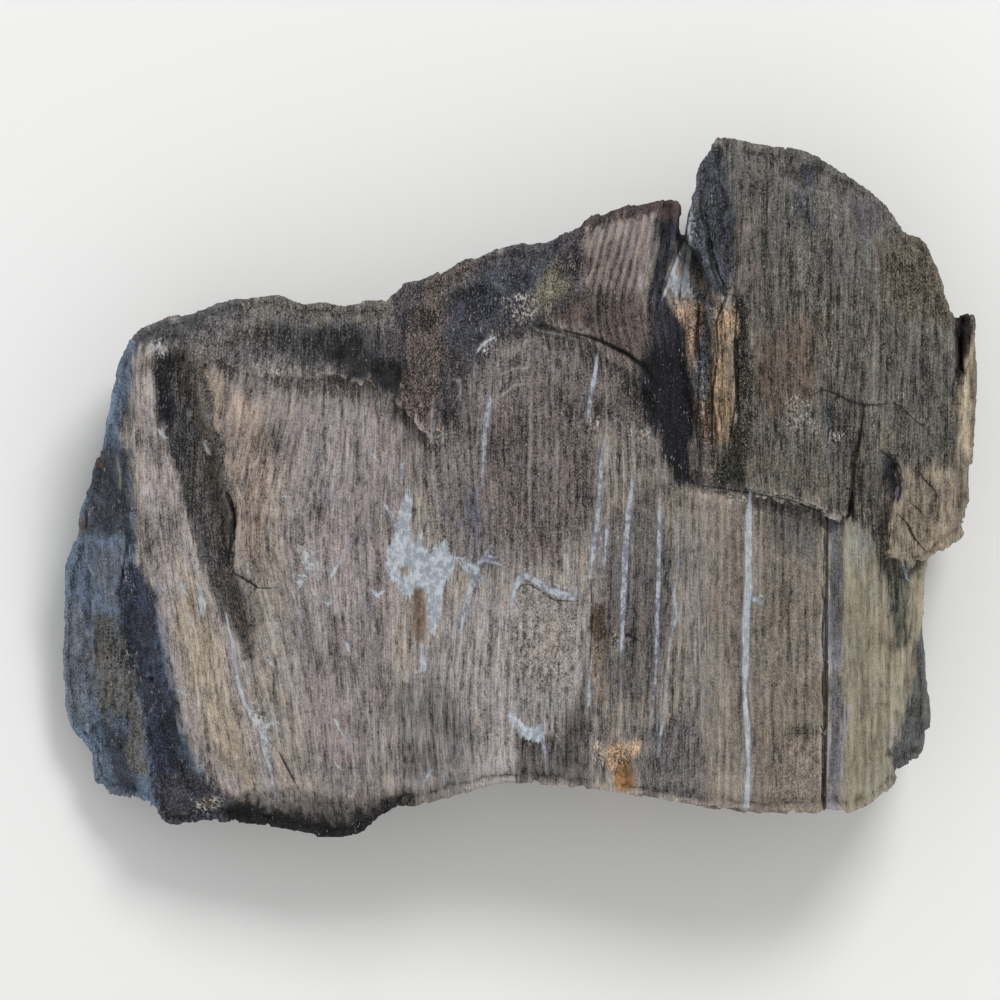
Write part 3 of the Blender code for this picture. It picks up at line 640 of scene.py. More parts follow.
        (224, 628), (212, 600), (200, 560), (186, 510), (176, 460), (162, 430), (158, 395)]),
    "grooveBlue": ("#24252b", 2, (0.5, 0.0, 0.9), (0.4, 0.4), [
        (159, 348), (176, 350), (178, 420), (172, 440), (164, 425), (160, 390)]),
    "grooveBrown": ("#3a3531", 2.5, (0.9, 0.0, 0.9), (0.0, 0.5), [
        (178, 350), (190, 350), (192, 400), (184, 430), (178, 400)]),
    "grooveBlack": ("#5b5650", 3, (0.5, 0.0, 1.0), (0.2, 0.6), [
        (192, 352), (206, 356), (216, 430), (222, 470), (232, 500), (230, 560), (220, 540), (204, 480),
        (196, 430)]),
    "grooveTan": ("#968a7b", 1.2, (0.5, 0.0, 0.5), (0.0, 0.1), [
        (210, 371), (226, 374), (224, 410), (219, 428), (212, 408)]),
    "grooveFoot": ("#5a5450", 5, (0.5, 0.0, 0.9), (0.0, 0.7), [
        (222, 570), (248, 580), (256, 620), (258, 664), (244, 660), (228, 630), (218, 600)]),
    "warmBeside": ("#a09085", 6, (0.9, 0.1, 0.6), (0.0, 0.2), [
        (228, 398), (256, 400), (268, 470), (262, 560), (240, 560), (238, 480)]),
    "leftSlate": ("#5b697b", 3, (0.4, 0.0, 0.9), (0.7, 0.3), [
        (125, 320), (140, 345), (130, 385), (120, 440), (134, 480), (136, 560), (150, 600), (166, 655),
        (182, 725), (205, 785), (160, 850), (40, 780), (30, 560), (80, 400)]),
    "slateLight": ("#5a626d", 3, (0.3, 0.0, 0.7), (0.7, 0.2), [
        (94, 545), (124, 548), (124, 605), (108, 606), (94, 580)]),
    "slateOuter": ("#636b76", 4, (0.4, 0.0, 0.9), (0.6, 0.3), [
        (50, 600), (84, 600), (90, 660), (88, 725), (62, 720), (45, 660)]),
    "leftNavy": ("#2b3141", 2.5, (0.4, 0.0, 1.0), (1.0, 0.1), [
        (122, 556), (140, 562), (152, 600), (160, 655), (176, 700), (178, 750), (196, 800), (188, 840),
        (160, 840), (152, 760), (140, 690), (122, 650), (116, 600)]),
    "navyUpper": ("#363b45", 3, (0.3, 0.0, 0.7), (0.9, 0.1), [
        (84, 470), (104, 440), (128, 452), (132, 500), (128, 540), (100, 535), (84, 520)]),
    "navyLow": ("#333844", 4, (0.3, 0.0, 0.7), (0.8, 0.2), [
        (102, 715), (128, 735), (134, 790), (112, 785), (100, 750)]),
    "leftBrownPatch": ("#5f5e5d", 4, (0.4, 0.0, 1.0), (0.2, 0.9), [
        (94, 612), (116, 618), (130, 660), (140, 700), (148, 780), (130, 770), (124, 715), (96, 712),
        (90, 660)]),
    "bevel": ("#4e4e50", 1.5, (0.3, 0.0, 0.6), (0.2, 0.1), [
        (130, 338), (150, 326), (240, 294), (242, 306), (165, 340), (140, 350)]),
    "bottomBlack": ("#383840", 4, (0.3, 0.0, 1.2), (0.6, 0.5), [
        (160, 780), (190, 770), (232, 796), (250, 845), (150, 850)]),
    # painted shade where the bottom curls away
    "bottomCurlShade": ("#0d0c0f", 4, (0.6, 0.0, 0.6), (0.2, 0.3), [
        (228, 799), (300, 805), (350, 801), (396, 790), (405, 855), (228, 850)]),
    "bottomShade": ("#6f6864", 6, (0.8, 0.1, 0.6), (0.0, 0.3), [
        (290, 796), (350, 796), (440, 785), (430, 830), (290, 830)]),
    # painted shade along the rim of the bottom curl
    "curlRimShade": ("#1b191a", 3, (0.6, 0.0, 0.9), (0.4, 0.2), [
        (228, 811), (270, 809), (310, 813), (345, 817), (372, 807), (396, 795), (412, 799), (400, 822),
        (352, 848), (300, 844), (238, 830)]),
    "rustPatch": ("#b4987d", 2, (0.3, 0.0, 1.4), (0.0, 0.7), [
        (596, 742), (622, 741), (645, 748), (645, 758), (633, 764), (618, 768), (598, 766)]),
    "rustColumn": ("#95714b", 1.2, (0.5, 0.0, 0.9), (0.0, 0.5), [
        (620, 762), (634, 760), (634, 792), (621, 791)]),
    "tanColumnTop": ("#54463e", 1.5, (0.8, 0.0, 0.8), (0.0, 0.4), [
        (592, 600), (604, 602), (604, 642), (593, 640)]),
    "tanColumn": ("#8b7a68", 1.5, (0.6, 0.0, 0.9), (0.0, 0.4), [
        (592, 640), (602, 640), (600, 700), (593, 700)]),
    "stepBlock": ("#7e7469", 6, (0.5, 0.2, 0.9), (0.0, 0.8), [
        (778, 740), (822, 738), (822, 800), (778, 802)]),
}
# Their borders wander and fray: pixels, then the sizes of the lumps in mm
borderWander = {"across": (6.0, (5, 16, 9), (1.7, 4.2, 3)), "along": (9.0, (5, 12, 9), (1.7, 4.2, 3))}
borderFray = (6.0, (1.1, 8.0, 5))


def wandered(points, way, seed):
    pixels, wide, fine = borderWander[way]
    return pixels * softNoise(points, wide, seed, 2) + pixels * softNoise(points, fine, seed + 2, 3)


def rowsNear(x, y, corners, margin):
    # which points lie in a box round some places of the photo
    cornersX, cornersY = np.array([corner[:2] for corner in corners]).T
    near = (x > cornersX.min() - margin) & (x < cornersX.max() + margin)
    near &= (y > cornersY.min() - margin) & (y < cornersY.max() + margin)
    return np.flatnonzero(near)


def stoneLook(points):
    # colour, figure and surface state at every point, zone over zone
    hexBase, figureBase, stateBase = stoneBase
    looks = [np.tile(values, (len(points), 1)).astype(float)
             for values in (linear(hexBase)[:3], figureBase, stateBase)]
    x, y = toPixels(points[:, 0], points[:, 1])
    wanderX = wandered(points, "across", 201)
    wanderY = wandered(points, "along", 205)
    fray = borderFray[0] * softNoise(points, borderFray[1], 209, 2)
    for hexTint, soft, figure, state, outline in stoneZones.values():
        rows = rowsNear(x, y, outline, soft / photoView["mmPerPixel"] + searchPixels["zone"])
        depth = depthInside((x + wanderX)[rows], (y + wanderY)[rows], outline)
        share = eased(0.5 + (depth + fray[rows]) * photoView["mmPerPixel"] / soft)[:, None]
        for look, values in zip(looks, (linear(hexTint)[:3], figure, state)):
            look[rows] += share * (np.array(values) - look[rows])
    return looks


# The face that the stone rests on lies below this height in mm, and faces down this much
restingFace = {"height": 0.6, "facing": -0.8}


def shapeRelief(stone):
    points = pointsOf(stone.data)
    facing = normalsOf(stone.data)
    drop = reliefDrop(points, facing, stoneLook(points)[2])
    drop[(points[:, 2] < restingFace["height"]) & (facing[:, 2] < restingFace["facing"])] = 0.0
    setPoints(stone.data, keepInside(squeezeNotch(points - facing * drop[:, None])))
    # a closed mesh has about two triangles for each point
    applyModifier(stone, "DECIMATE", ratio=stoneMesh["triangles"] / (2.0 * len(points)))


def linear(hexColour):
    # an sRGB hex colour as the renderer's own linear values
    shares = [int(hexColour[place:place + 2], 16) / 255.0 for place in (1, 3, 5)]
    return np.array([share / 12.92 if share <= 0.04045 else ((share + 0.055) / 1.055) ** 2.4
                     for share in shares] + [1.0])


# Veins: photo pixels, then half width in mm
whiteVeins = {
    "main": [
        (750, 492, 0.3), (748, 520, 0.95), (748, 560, 0.85), (748, 590, 1.1), (745, 625, 1.05),
        (745, 670, 0.9), (744, 690, 0.5), (747, 725, 0.75), (748, 760, 0.5), (746, 806, 0.9)],
    "left": [
        (226, 616, 0.3), (230, 634, 0.4), (235, 655, 0.4), (238, 678, 0.4), (243, 699, 0.5),
        (251, 714, 0.5), (260, 729, 0.7), (264, 747, 0.5), (270, 768, 0.4), (277, 800, 0.3)],
    "leftFray": [(256, 712, 0.2), (264, 724, 0.6), (266, 740, 0.5), (274, 760, 0.1)],
    "leftHook": [(266, 728, 0.3), (272, 721, 0.4), (279, 729, 0.2)],
    "tail": [(422, 642, 0.4), (422, 655, 0.5), (424, 668, 0.8), (418, 672, 0.3)],
    "starEdge": [(372, 590, 0.42), (378, 596, 0.54), (384, 590, 0.3)],
    "strokeA": [(300, 546, 0.32), (306, 554, 0.72), (313, 568, 0.56), (316, 576, 0.24)],
    "strokeB": [(302, 560, 0.2), (308, 568, 0.6)],
    "strokeC": [(298, 582, 0.3), (302, 580, 0.7), (300, 588, 0.3)],
    "strokeD": [(312, 590, 0.14), (320, 600, 0.35), (328, 604, 0.56), (333, 600, 0.28)],
    "strokeE": [(342, 560, 0.2), (336, 568, 0.5), (330, 580, 0.3)],
    "strokeF": [(176, 579, 0.3), (182, 584, 0.6), (185, 594, 0.3)],
    "strokeG": [(197, 582, 0.3), (201, 592, 0.8), (203, 604, 1.0), (203, 618, 0.3)],
    "strokeH": [(192, 614, 0.2), (193, 626, 0.4)],
    "strokeI": [(268, 660, 0.2), (272, 664, 0.4), (275, 667, 0.2)],
    "strokeJ": [(347, 644, 0.5), (350, 652, 0.3)],
    "strokeK": [(336, 722, 0.42), (340, 730, 0.35), (348, 742, 0.21)],
    "strokeL": [(281, 496, 0.2), (288, 497, 0.3)],
    "strokeO": [(372, 453, 0.3), (376, 459, 0.4)],
    "strokeR": [(478, 350, 0.3), (484, 344, 0.42), (490, 340, 0.48), (496, 337, 0.18)],
    "strokeS": [(159, 430, 0.4), (163, 436, 0.5)],
    "strokeT": [(204, 445, 0.5), (208, 452, 0.4)],
    "strokeU": [(180, 691, 0.5), (184, 694, 0.5)],
    "strokeV": [(84, 560, 0.18), (92, 574, 0.24)],
    "strokeW": [(150, 712, 0.18), (156, 700, 0.12)],
    "strokeX": [(337, 765, 0.4), (341, 769, 0.3)],
    "wedge": [(690, 236, 0.56), (688, 262, 0.8), (683, 290, 0.48)],
    "wedgeEdge": [(692, 205, 0.2), (688, 238, 0.45), (679, 256, 0.5), (671, 277, 0.5), (664, 296, 0.3)],
    "wedgeFoot": [(672, 279, 0.3), (675, 288, 0.5), (678, 298, 0.35)],
    "facetRidge": [(697, 190, 0.03), (700, 230, 0.1), (707, 262, 0.14), (714, 280, 0.07)],
    "toothTip": [(903, 566, 0.4), (906, 576, 0.5)],
    "leftRim": [(150, 352, 0.3), (160, 345, 0.5), (163, 352, 0.4)],
}
creamVeins = {
    "lineA": [(531, 325, 0.24), (538, 331, 0.27), (562, 335, 0.31), (582, 341, 0.19)],
    "lineB": [(500, 375, 0.25), (512, 369, 0.34), (527, 368, 0.34)],
    "lineC": [(488, 403, 0.32), (500, 397, 0.34), (515, 385, 0.32), (538, 383, 0.19)],
    "pink": [(434, 397, 0.19), (432, 415, 0.32), (431, 430, 0.25)],
    "curl": [(450, 380, 0.17), (460, 380, 0.25), (461, 392, 0.29), (452, 408, 0.17)],
    "plateLight": [(874, 328, 0.21), (874, 360, 0.3), (872, 402, 0.16)],
    "platePale": [(862, 268, 0.16), (877, 270, 0.23)],
    # pale crust along the ledge lip, partly a painted highlight on the lit lip
    "rimCrustHighlight": [
        (236, 366, 0.15), (262, 368, 0.26), (275, 372, 0.23), (300, 377, 0.25), (325, 378, 0.15)],
    "strokeM": [(365, 464, 0.27), (367, 480, 0.34)],
    "strokeN": [(362, 500, 0.34), (359, 512, 0.34)],
    "strokeP": [(368, 545, 0.34), (374, 550, 0.34), (375, 560, 0.34)],
    "strokeQ": [(430, 440, 0.34), (436, 437, 0.34), (445, 435, 0.32)],
    "slateLine": [(117, 455, 0.19), (119, 470, 0.32), (120, 490, 0.22)],
    "centreLineA": [(553, 345, 0.15), (553, 372, 0.3), (552, 400, 0.12)],
    "centreLineB": [(567, 338, 0.2), (564, 362, 0.32), (562, 388, 0.12)],
    "centreLineC": [(577, 340, 0.2), (574, 368, 0.34), (571, 402, 0.12)],
    "centreLineD": [(532, 362, 0.12), (531, 400, 0.3), (530, 470, 0.26), (529, 540, 0.1)],
    "centreLineE": [(558, 425, 0.12), (557, 462, 0.3), (556, 525, 0.12)],
    "fissureLight": [(728, 330, 0.2), (729, 360, 0.36), (728, 388, 0.2)],
    "paleLineA": [(698, 536, 0.1), (698, 600, 0.3), (700, 660, 0.34), (704, 760, 0.16)],
    "paleLineB": [(704, 505, 0.1), (706, 560, 0.3), (708, 620, 0.36), (708, 740, 0.3), (707, 762, 0.2)],
    "tick": [(581, 568, 0.2), (583, 576, 0.4), (593, 577, 0.5), (603, 576, 0.4)],
    "paleLineC": [(586, 650, 0.2), (588, 690, 0.3), (587, 720, 0.2)],
    "paleLineD": [(599, 660, 0.2), (598, 680, 0.4), (596, 705, 0.25)],
}
blueVeins = {
    "blobTail": [(542, 736, 0.6), (545, 752, 0.36), (546, 774, 0.14)],
    "hook": [
        (511, 606, 0.5), (515, 588, 0.7), (520, 578, 0.9), (528, 576, 0.9), (538, 582, 0.9),
        (549, 590, 1.0), (560, 594, 1.0), (574, 597, 0.9), (575, 590, 0.5)],
    "upper": [(490, 398, 0.5), (486, 420, 0.8), (484, 450, 0.5), (482, 486, 0.2)],
    "starSpike": [(471, 588, 0.7), (465, 610, 0.6), (460, 630, 0.4), (455, 657, 0.1)],
    "secondA": [(458, 559, 0.6), (468, 562, 1.0), (477, 572, 0.8), (489, 586, 0.4)],
    "secondB": [(474, 566, 0.4), (486, 558, 0.8), (489, 547, 0.3)],
    "secondC": [(485, 559, 0.6), (498, 564, 0.4)],
    "secondD": [(470, 564, 0.5), (474, 580, 0.8), (470, 592, 0.7)],
    "secondE": [(462, 566, 0.3), (470, 572, 0.6), (478, 562, 0.4)],
    "stripeA": [(598, 350, 0.27), (594, 380, 0.63), (588, 412, 0.45), (587, 424, 0.18)],
    "stripeB": [
        (604, 438, 0.26), (601, 462, 0.42), (597, 520, 0.51), (593, 553, 0.59), (590, 575, 0.51)],
    "stripeC": [(607, 530, 0.4), (603, 574, 0.32)],
    "stripeD": [
        (632, 480, 0.3), (630, 500, 0.6), (626, 535, 0.85), (623, 600, 0.7), (622, 635, 0.5),
        (620, 662, 0.2)],
    "stripeE": [
        (660, 490, 0.22), (659, 515, 0.41), (658, 584, 0.56), (657, 626, 0.45), (655, 685, 0.3),
        (648, 735, 0.22)],
    "stripeF": [
        (677, 517, 0.15), (679, 563, 0.26), (674, 594, 0.3), (676, 618, 0.45), (670, 637, 0.3),
        (665, 690, 0.22), (661, 732, 0.38), (657, 756, 0.22)],
    "stripeG": [(589, 680, 0.3), (588, 706, 0.4)],
    "stripeH": [(694, 645, 0.07), (693, 690, 0.17), (688, 740, 0.07)],
    "spur": [(750, 596, 0.6), (756, 600, 0.9), (760, 603, 0.4)],
    "armLeft": [(383, 502, 0.3), (389, 510, 0.5), (395, 522, 0.4), (398, 540, 0.5)],
    "blueHaze": [(402, 465, 0.5), (401, 478, 0.3)],
    "lowHaze": [(425, 780, 0.4), (432, 770, 0.3)],
}
veinGroups = {"whiteVeins": whiteVeins, "blueVeins": blueVeins, "creamVeins": creamVeins,
              "crackShadeLines": cracks}
# Patches: photo pixels of each outline
chalcedony = {
    "star": [
        (386, 560), (389, 548), (397, 534), (398, 518), (402, 508), (404, 496), (409, 488), (412, 500),
        (410, 528), (414, 545), (418, 534), (421, 535), (425, 548), (431, 554), (437, 545), (445, 537),
        (448, 548), (455, 562), (451, 576), (444, 588), (440, 618), (433, 638), (428, 626), (426, 601),
        (424, 588), (414, 586), (412, 596), (404, 597), (400, 588), (392, 580), (386, 570)],
    "blob": [
        (508, 714), (514, 711), (519, 721), (530, 727), (543, 723), (544, 741), (534, 742), (521, 735),
        (512, 726)],
    "crystals": [(671, 276), (690, 272), (692, 296), (676, 300)],
}
paleFlecks = {
    "ledge": [(784, 398), (800, 394), (812, 404), (806, 428), (790, 432), (782, 420)],
    "ledgeLow": [(808, 418), (816, 420), (816, 438), (810, 434)],
    "dots": [(826, 430), (846, 430), (846, 445), (828, 445)],
    "chip": [(190, 798), (204, 800), (222, 792), (224, 806), (206, 814), (196, 812)],
    "upper": [(474, 350), (492, 334), (500, 340), (486, 358)],
    "rustWhite": [(592, 738), (606, 742), (608, 764), (594, 766)],
    "greyCluster": [(614, 630), (622, 634), (618, 652), (610, 648)],
    "band": [(726, 490), (748, 494), (745, 506), (728, 504)],
    "upperLeft": [(500, 300), (530, 290), (545, 310), (520, 325)],
    "low": [(528, 690), (538, 688), (536, 702), (528, 700)],
    "faceA": [(296, 544), (309, 545), (319, 566), (317, 580), (305, 574)],
    "faceB": [(310, 588), (335, 592), (333, 608), (316, 604)],
    "stripA": [(195, 582), (206, 584), (209, 618), (199, 622)],
    "stripB": [(174, 576), (185, 580), (188, 602), (180, 600)],
    "frayed": [(246, 696), (262, 706), (280, 722), (273, 764), (258, 742)],
    "ledgeTip": [(424, 430), (444, 428), (446, 440), (428, 446)],
    "rimLeft": [(150, 340), (166, 338), (168, 356), (152, 358)],
    "fissureSpecks": [(696, 360), (701, 358), (705, 400), (705, 420), (700, 412)],
    "fissureTop": [(672, 290), (694, 286), (704, 300), (690, 312), (676, 306)],
    "grooveDots": [(200, 436), (212, 440), (212, 458), (202, 454)],
    "centreSpot": [(626, 427), (652, 427), (655, 441), (630, 443)],
    "centreDot": [(587, 417), (600, 419), (601, 430), (588, 429)],
    # pale flecks along the ledge lip, partly a painted highlight on the lit lip
    "rimFlecksHighlight": [(228, 362), (262, 364), (300, 373), (330, 375), (300, 381), (250, 374)],
}
rustMarks = {
    "starCore": [(414, 588), (424, 588), (426, 620), (425, 643), (414, 642), (412, 612)],
    "tanSpot": [(398, 565), (409, 564), (410, 576), (400, 577)],
    "upper": [(637, 432), (646, 432), (646, 439), (638, 439)],
    "column": [(624, 768), (632, 766), (632, 786), (624, 788)],
    "edgeA": [(96, 455), (104, 456), (102, 468), (97, 466)],
    "edgeB": [(74, 515), (86, 518), (82, 540), (74, 538)],
    "edgeC": [(96, 784), (128, 792), (130, 798), (106, 796)],
    "ledge": [(436, 422), (444, 424), (442, 434), (436, 432)],
    "chip": [(204, 796), (214, 798), (212, 806), (204, 806)],
}
patchGroups = {"chalcedony": chalcedony, "paleFlecks": paleFlecks, "rustMarks": rustMarks}
# How far from a patch and a vein their distances are told, in mm
markReach = {"patch": 2.5, "vein": 3.0}


def patchDepth(points, outlines):
    # depth inside the nearest of some patches, in mm, held between the limits
    limit = markReach["patch"]
    x, y = toPixels(points[:, 0], points[:, 1])
    depth = np.full(len(points), -limit)
    for outline in outlines.values():
        rows = rowsNear(x, y, outline, searchPixels["patch"])
        found = depthInside(x[rows], y[rows], outline) * photoView["mmPerPixel"]
        depth[rows] = np.maximum(depth[rows], found)
    return np.clip(depth, -limit, limit)


def veinPlace(points, veins):
    # signed distance to the nearest vein and its half width there, in mm
    x, y = toPixels(points[:, 0], points[:, 1])
    nearest = np.full(len(points), markReach["vein"])
    signed = nearest.copy()
    half = np.zeros(len(points))
    for path in veins.values():
        rows = rowsNear(x, y, path, searchPixels["vein"])
        for start, end in zip(path[:-1], path[1:]):
            distance, widths = alongPath(x[rows], y[rows], [start, end])
            distance *= photoView["mmPerPixel"]
            runX, runY = end[0] - start[0], end[1] - start[1]
            side = runX * (y[rows] - start[1]) - runY * (x[rows] - start[0])
            closer = distance < nearest[rows]
            took = rows[closer]
            nearest[took] = distance[closer]
            signed[took] = (np.sign(side) * distance)[closer]
            half[took] = np.where(distance < widths[0] + 1.0, widths[0], 0.0)[closer]
    return np.column_stack([signed, half, half * 0.0])


def writeAttribute(mesh, name, kind, values):
    attribute = mesh.attributes.new(name, kind, "POINT")
    field = {"FLOAT": "value", "FLOAT_VECTOR": "vector", "FLOAT_COLOR": "color"}[kind]
    attribute.data.foreach_set(field, np.ascontiguousarray(values, dtype=np.float32).ravel())

# Walls are painted a little darker than the front as painted shade, and the darker the stone, the more
# its paler grains stand out. Hollows are found over a few and over many points and painted darker as
# painted shade, the ridges between them lighter as painted light, and marks fade where the stone turns
# down.
lookShape = {"wallPaintedShade": 0.3, "plainTint": 0.2, "grainPower": 0.45, "grainLimits": (0.9, 2.6),
             "hollows": ((4, 2.2), (14, 0.6)), "marksFrom": 0.05, "marksOver": 0.3}


def writeLook(mesh):
    points = pointsOf(mesh)
    facing = normalsOf(mesh)
    tint, figure, state = stoneLook(points)
    # painted shade: walls darkened the more they face sideways
    tint *= 1.0 - lookShape["wallPaintedShade"] * eased(1.2 - 2.4 * np.abs(facing[:, 2:]))
    gain = (lookShape["plainTint"] / tint.mean(axis=1)) ** lookShape["grainPower"]
    figure *= np.clip(gain, *lookShape["grainLimits"])[:, None]
    # painted shade in hollows and painted light on ridges
    hollow = sum(weight * hollowness(mesh, points, facing, rounds)
                 for rounds, weight in lookShape["hollows"])
    upward = eased((facing[:, 2] - lookShape["marksFrom"]) / lookShape["marksOver"])
    shown = np.column_stack([np.ones(len(points)), upward, upward])
    vectors = {"grainPlace": grainPlaces(points), "figure": figure,
               "surface": np.column_stack([state, np.clip(hollow, -1.0, 1.0)])}
    for name, veins in veinGroups.items():
        vectors[name] = veinPlace(points, veins) * shown
    writeAttribute(mesh, "stoneTint", "FLOAT_COLOR", np.column_stack([tint, np.ones(len(tint))]))
    for name, values in vectors.items():
        writeAttribute(mesh, name, "FLOAT_VECTOR", values)
    for name, marks in patchGroups.items():
        depth = patchDepth(points, marks)
        writeAttribute(mesh, name, "FLOAT", depth * upward - markReach["patch"] * (1.0 - upward))


def addNode(tree, kind, inputs=None, **settings):
    node = tree.nodes.new(kind)
    for name, value in settings.items():
        setattr(node, name, value)
    for name, value in (inputs or {}).items():
        if isinstance(value, bpy.types.NodeSocket):
            tree.links.new(value, node.inputs[name])
        else:
            node.inputs[name].default_value = value
    return node


def sums(tree, operation, first, second=0.0, third=0.0, clamp=False):
    node = addNode(tree, "ShaderNodeMath", {0: first, 1: second, 2: third}, operation=operation,
                   use_clamp=clamp)
    return node.outputs[0]


def blend(tree, share, first, second, way="MIX"):
    node = addNode(tree, "ShaderNodeMix", {0: share, 6: first, 7: second}, data_type="RGBA",
                   blend_type=way)
    return node.outputs[2]


def streakNoise(tree, place, size, detail, offset, roughness):
    # noise drawn out along the grain, its sizes in mm
    fitted = addNode(tree, "ShaderNodeMapping", {
        "Vector": place, "Location": (offset, offset * 0.7, offset * 0.3),
        "Scale": tuple(1.0 / side for side in size)})
    node = addNode(tree, "ShaderNodeTexNoise", {
        "Vector": fitted.outputs[0], "Scale": 1.0, "Detail": detail, "Roughness": roughness})
    return node.outputs["Fac"]


def ramp(tree, value, low, high):
    # 0 below the low value, 1 above the high one
    node = addNode(tree, "ShaderNodeMapRange", {
        "Value": value, "From Min": low, "From Max": high}, interpolation_type="SMOOTHSTEP")
    return node.outputs["Result"]


def parted(tree, vector):
    # the three parts of a vector
    return addNode(tree, "ShaderNodeSeparateXYZ", {0: vector}).outputs


# Colours of the fills and stains, and the near-black of the cracks, which is partly painted shade
fillColours = {
    "white": "#cbd1d7", "whiteDark": "#b0b6bf", "blue": "#bfc4ce", "blueDark": "#858994",
    "cream": "#d2cdc4", "creamDark": "#8f8b84", "veinCream": "#b3a594", "chalcedony": "#ccd4db",
    "chalcedonyDark": "#a1a8b2", "rust": "#8a6a4a", "rustDark": "#503e32", "speck": "#b9b4ac",
    "glint": "#a9afba", "pepper": "#262321", "stroke": "#b5aca2", "crackShade": "#171514"}
# Noises: size in mm across the grain, along it and through the stone, then detail, offset and
# roughness. Real fibres and grains are finer than the hair and the grain here, which are drawn
# coarser so that they show.
woodNoises = {
    "hair": ((0.42, 5.0, 2.2), 2.0, 0.0, 0.5),
    "fibre": ((0.9, 15.0, 6.0), 3.0, 7.0, 0.5),
    "band": ((3.4, 50.0, 12.0), 3.0, 19.0, 0.5),
    "lines": ((1.3, 120.0, 20.0), 2.0, 23.0, 0.5),
    "cloud": ((9.0, 15.0, 12.0), 5.0, 31.0, 0.65),
    "grain": ((0.42, 0.62, 0.5), 2.0, 43.0, 0.65),
    "warmth": ((3.0, 14.0, 8.0), 5.0, 57.0, 0.6),
    "clumps": ((1.7, 3.0, 2.4), 4.0, 61.0, 0.7),
    "stroke": ((0.5, 1.9, 1.2), 1.0, 71.0, 0.5),
    "swarm": ((6.0, 9.0, 7.0), 3.0, 83.0, 0.5),
    "mottle": ((1.6, 2.6, 2.0), 3.0, 91.0, 0.6),
    "broken": ((2.2, 3.4, 3.0), 3.0, 97.0, 0.6),
    "crumb": ((0.8, 1.1, 0.9), 2.0, 103.0, 0.6)}
# At this scale the growth layers are 2.45 mm apart
layerWave = {"Scale": 0.128, "Distortion": 1.8, "Detail": 2.0, "Detail Scale": 0.35}
# How much each noise lightens or darkens, by how streaky, layered and speckled the stone is, and
# last everywhere
lightWeights = ({"hair": 2.3, "fibre": 1.7, "band": 1.2}, {"layers": 0.42},
                {"grain": 4.0, "clumps": 1.7}, {"cloud": 1.1})
# How the borders of cracks and of other marks are torn
raggedWeights = {"grain": 1.2, "hair": 1.4}
frayedWeights = {"grain": 1.0, "hair": 2.6, "mottle": 1.6}
# The surface: dull and grained, and smoother and flatter where the stone broke like glass
woodSkin = {"rough": 0.72, "roughOnGlass": -0.36, "roughOnGrain": 0.2, "hairRise": 0.8, "bump": 0.75,
            "bumpOnGlass": -0.5, "bumpDepth": 0.0009, "IOR": 1.46, "specular": 0.3}


def tone(name):
    return tuple(linear(fillColours[name]))


def silicifiedWood():
    # silicified wood: grey-brown fibres with darker and paler streaks, and quartz in the cracks
    material = bpy.data.materials.new("silicifiedWood")
    material.use_nodes = True
    tree = material.node_tree
    tree.nodes.clear()
    named = {name: addNode(tree, "ShaderNodeAttribute", attribute_name=name).outputs for name in
             ("stoneTint", "grainPlace", "figure", "surface", *patchGroups, *veinGroups)}
    noise = woodFigure(tree, named["grainPlace"]["Vector"])
    figure = parted(tree, named["figure"]["Vector"])
    glassy, _, hollow = parted(tree, named["surface"]["Vector"])
    colour = stoneColour(tree, noise, figure, hollow, named["stoneTint"]["Color"])
    colour = addSpecks(tree, noise, figure[2], glassy, colour)
    colour = addCrackShade(tree, named, noise, colour)
    colour = addVeins(tree, named, noise, colour)
    colour = addPatches(tree, named, noise, colour)
    addSkin(tree, noise, glassy, colour)
    return material


def woodFigure(tree, place):
    # the noises by their names, and the growth layers with some finer lines between them
    noise = {name: streakNoise(tree, place, *settings) for name, settings in woodNoises.items()}
    wave = addNode(tree, "ShaderNodeTexWave", {"Vector": place, **layerWave}, wave_type="BANDS",
                   bands_direction="X")
    lines = ramp(tree, noise["lines"], 0.52, 0.68)
    noise["layers"] = sums(tree, "MULTIPLY_ADD", lines, 0.8, wave.outputs["Fac"])
    return noise


def weighted(tree, noise, weights):
    # several noises, each taken about its middle and given its weight
    total = -0.5 * sum(weights.values())
    for name, weight in weights.items():
        total = sums(tree, "MULTIPLY_ADD", noise[name], weight, total)
    return total


def stoneColour(tree, noise, figure, hollow, tint):
    # the zone's colour, lighter or darker with the figure, darker in hollows as painted shade and lighter
    # on ridges as painted light, and warmer or cooler in wide patches
    light = 0.0
    for share, weights in zip((*figure, 1.0), lightWeights):
        part = sums(tree, "MULTIPLY", weighted(tree, noise, weights), share)
        # painted shade in hollows and painted light on ridges
        light = sums(tree, "ADD", light, part)
    light = sums(tree, "MULTIPLY_ADD", hollow, -0.5, light)
    light = sums(tree, "MAXIMUM", sums(tree, "ADD", light, 1.0), 0.15)
    lit = addNode(tree, "ShaderNodeCombineXYZ", {0: light, 1: light, 2: light}).outputs[0]
    colour = blend(tree, 1.0, tint, lit, "MULTIPLY")
    warm = blend(tree, 1.0, colour, (1.035, 0.995, 0.955, 1.0), "MULTIPLY")
    cool = blend(tree, 1.0, colour, (0.97, 1.0, 1.04, 1.0), "MULTIPLY")
    return blend(tree, ramp(tree, noise["warmth"], 0.3, 0.7), cool, warm)


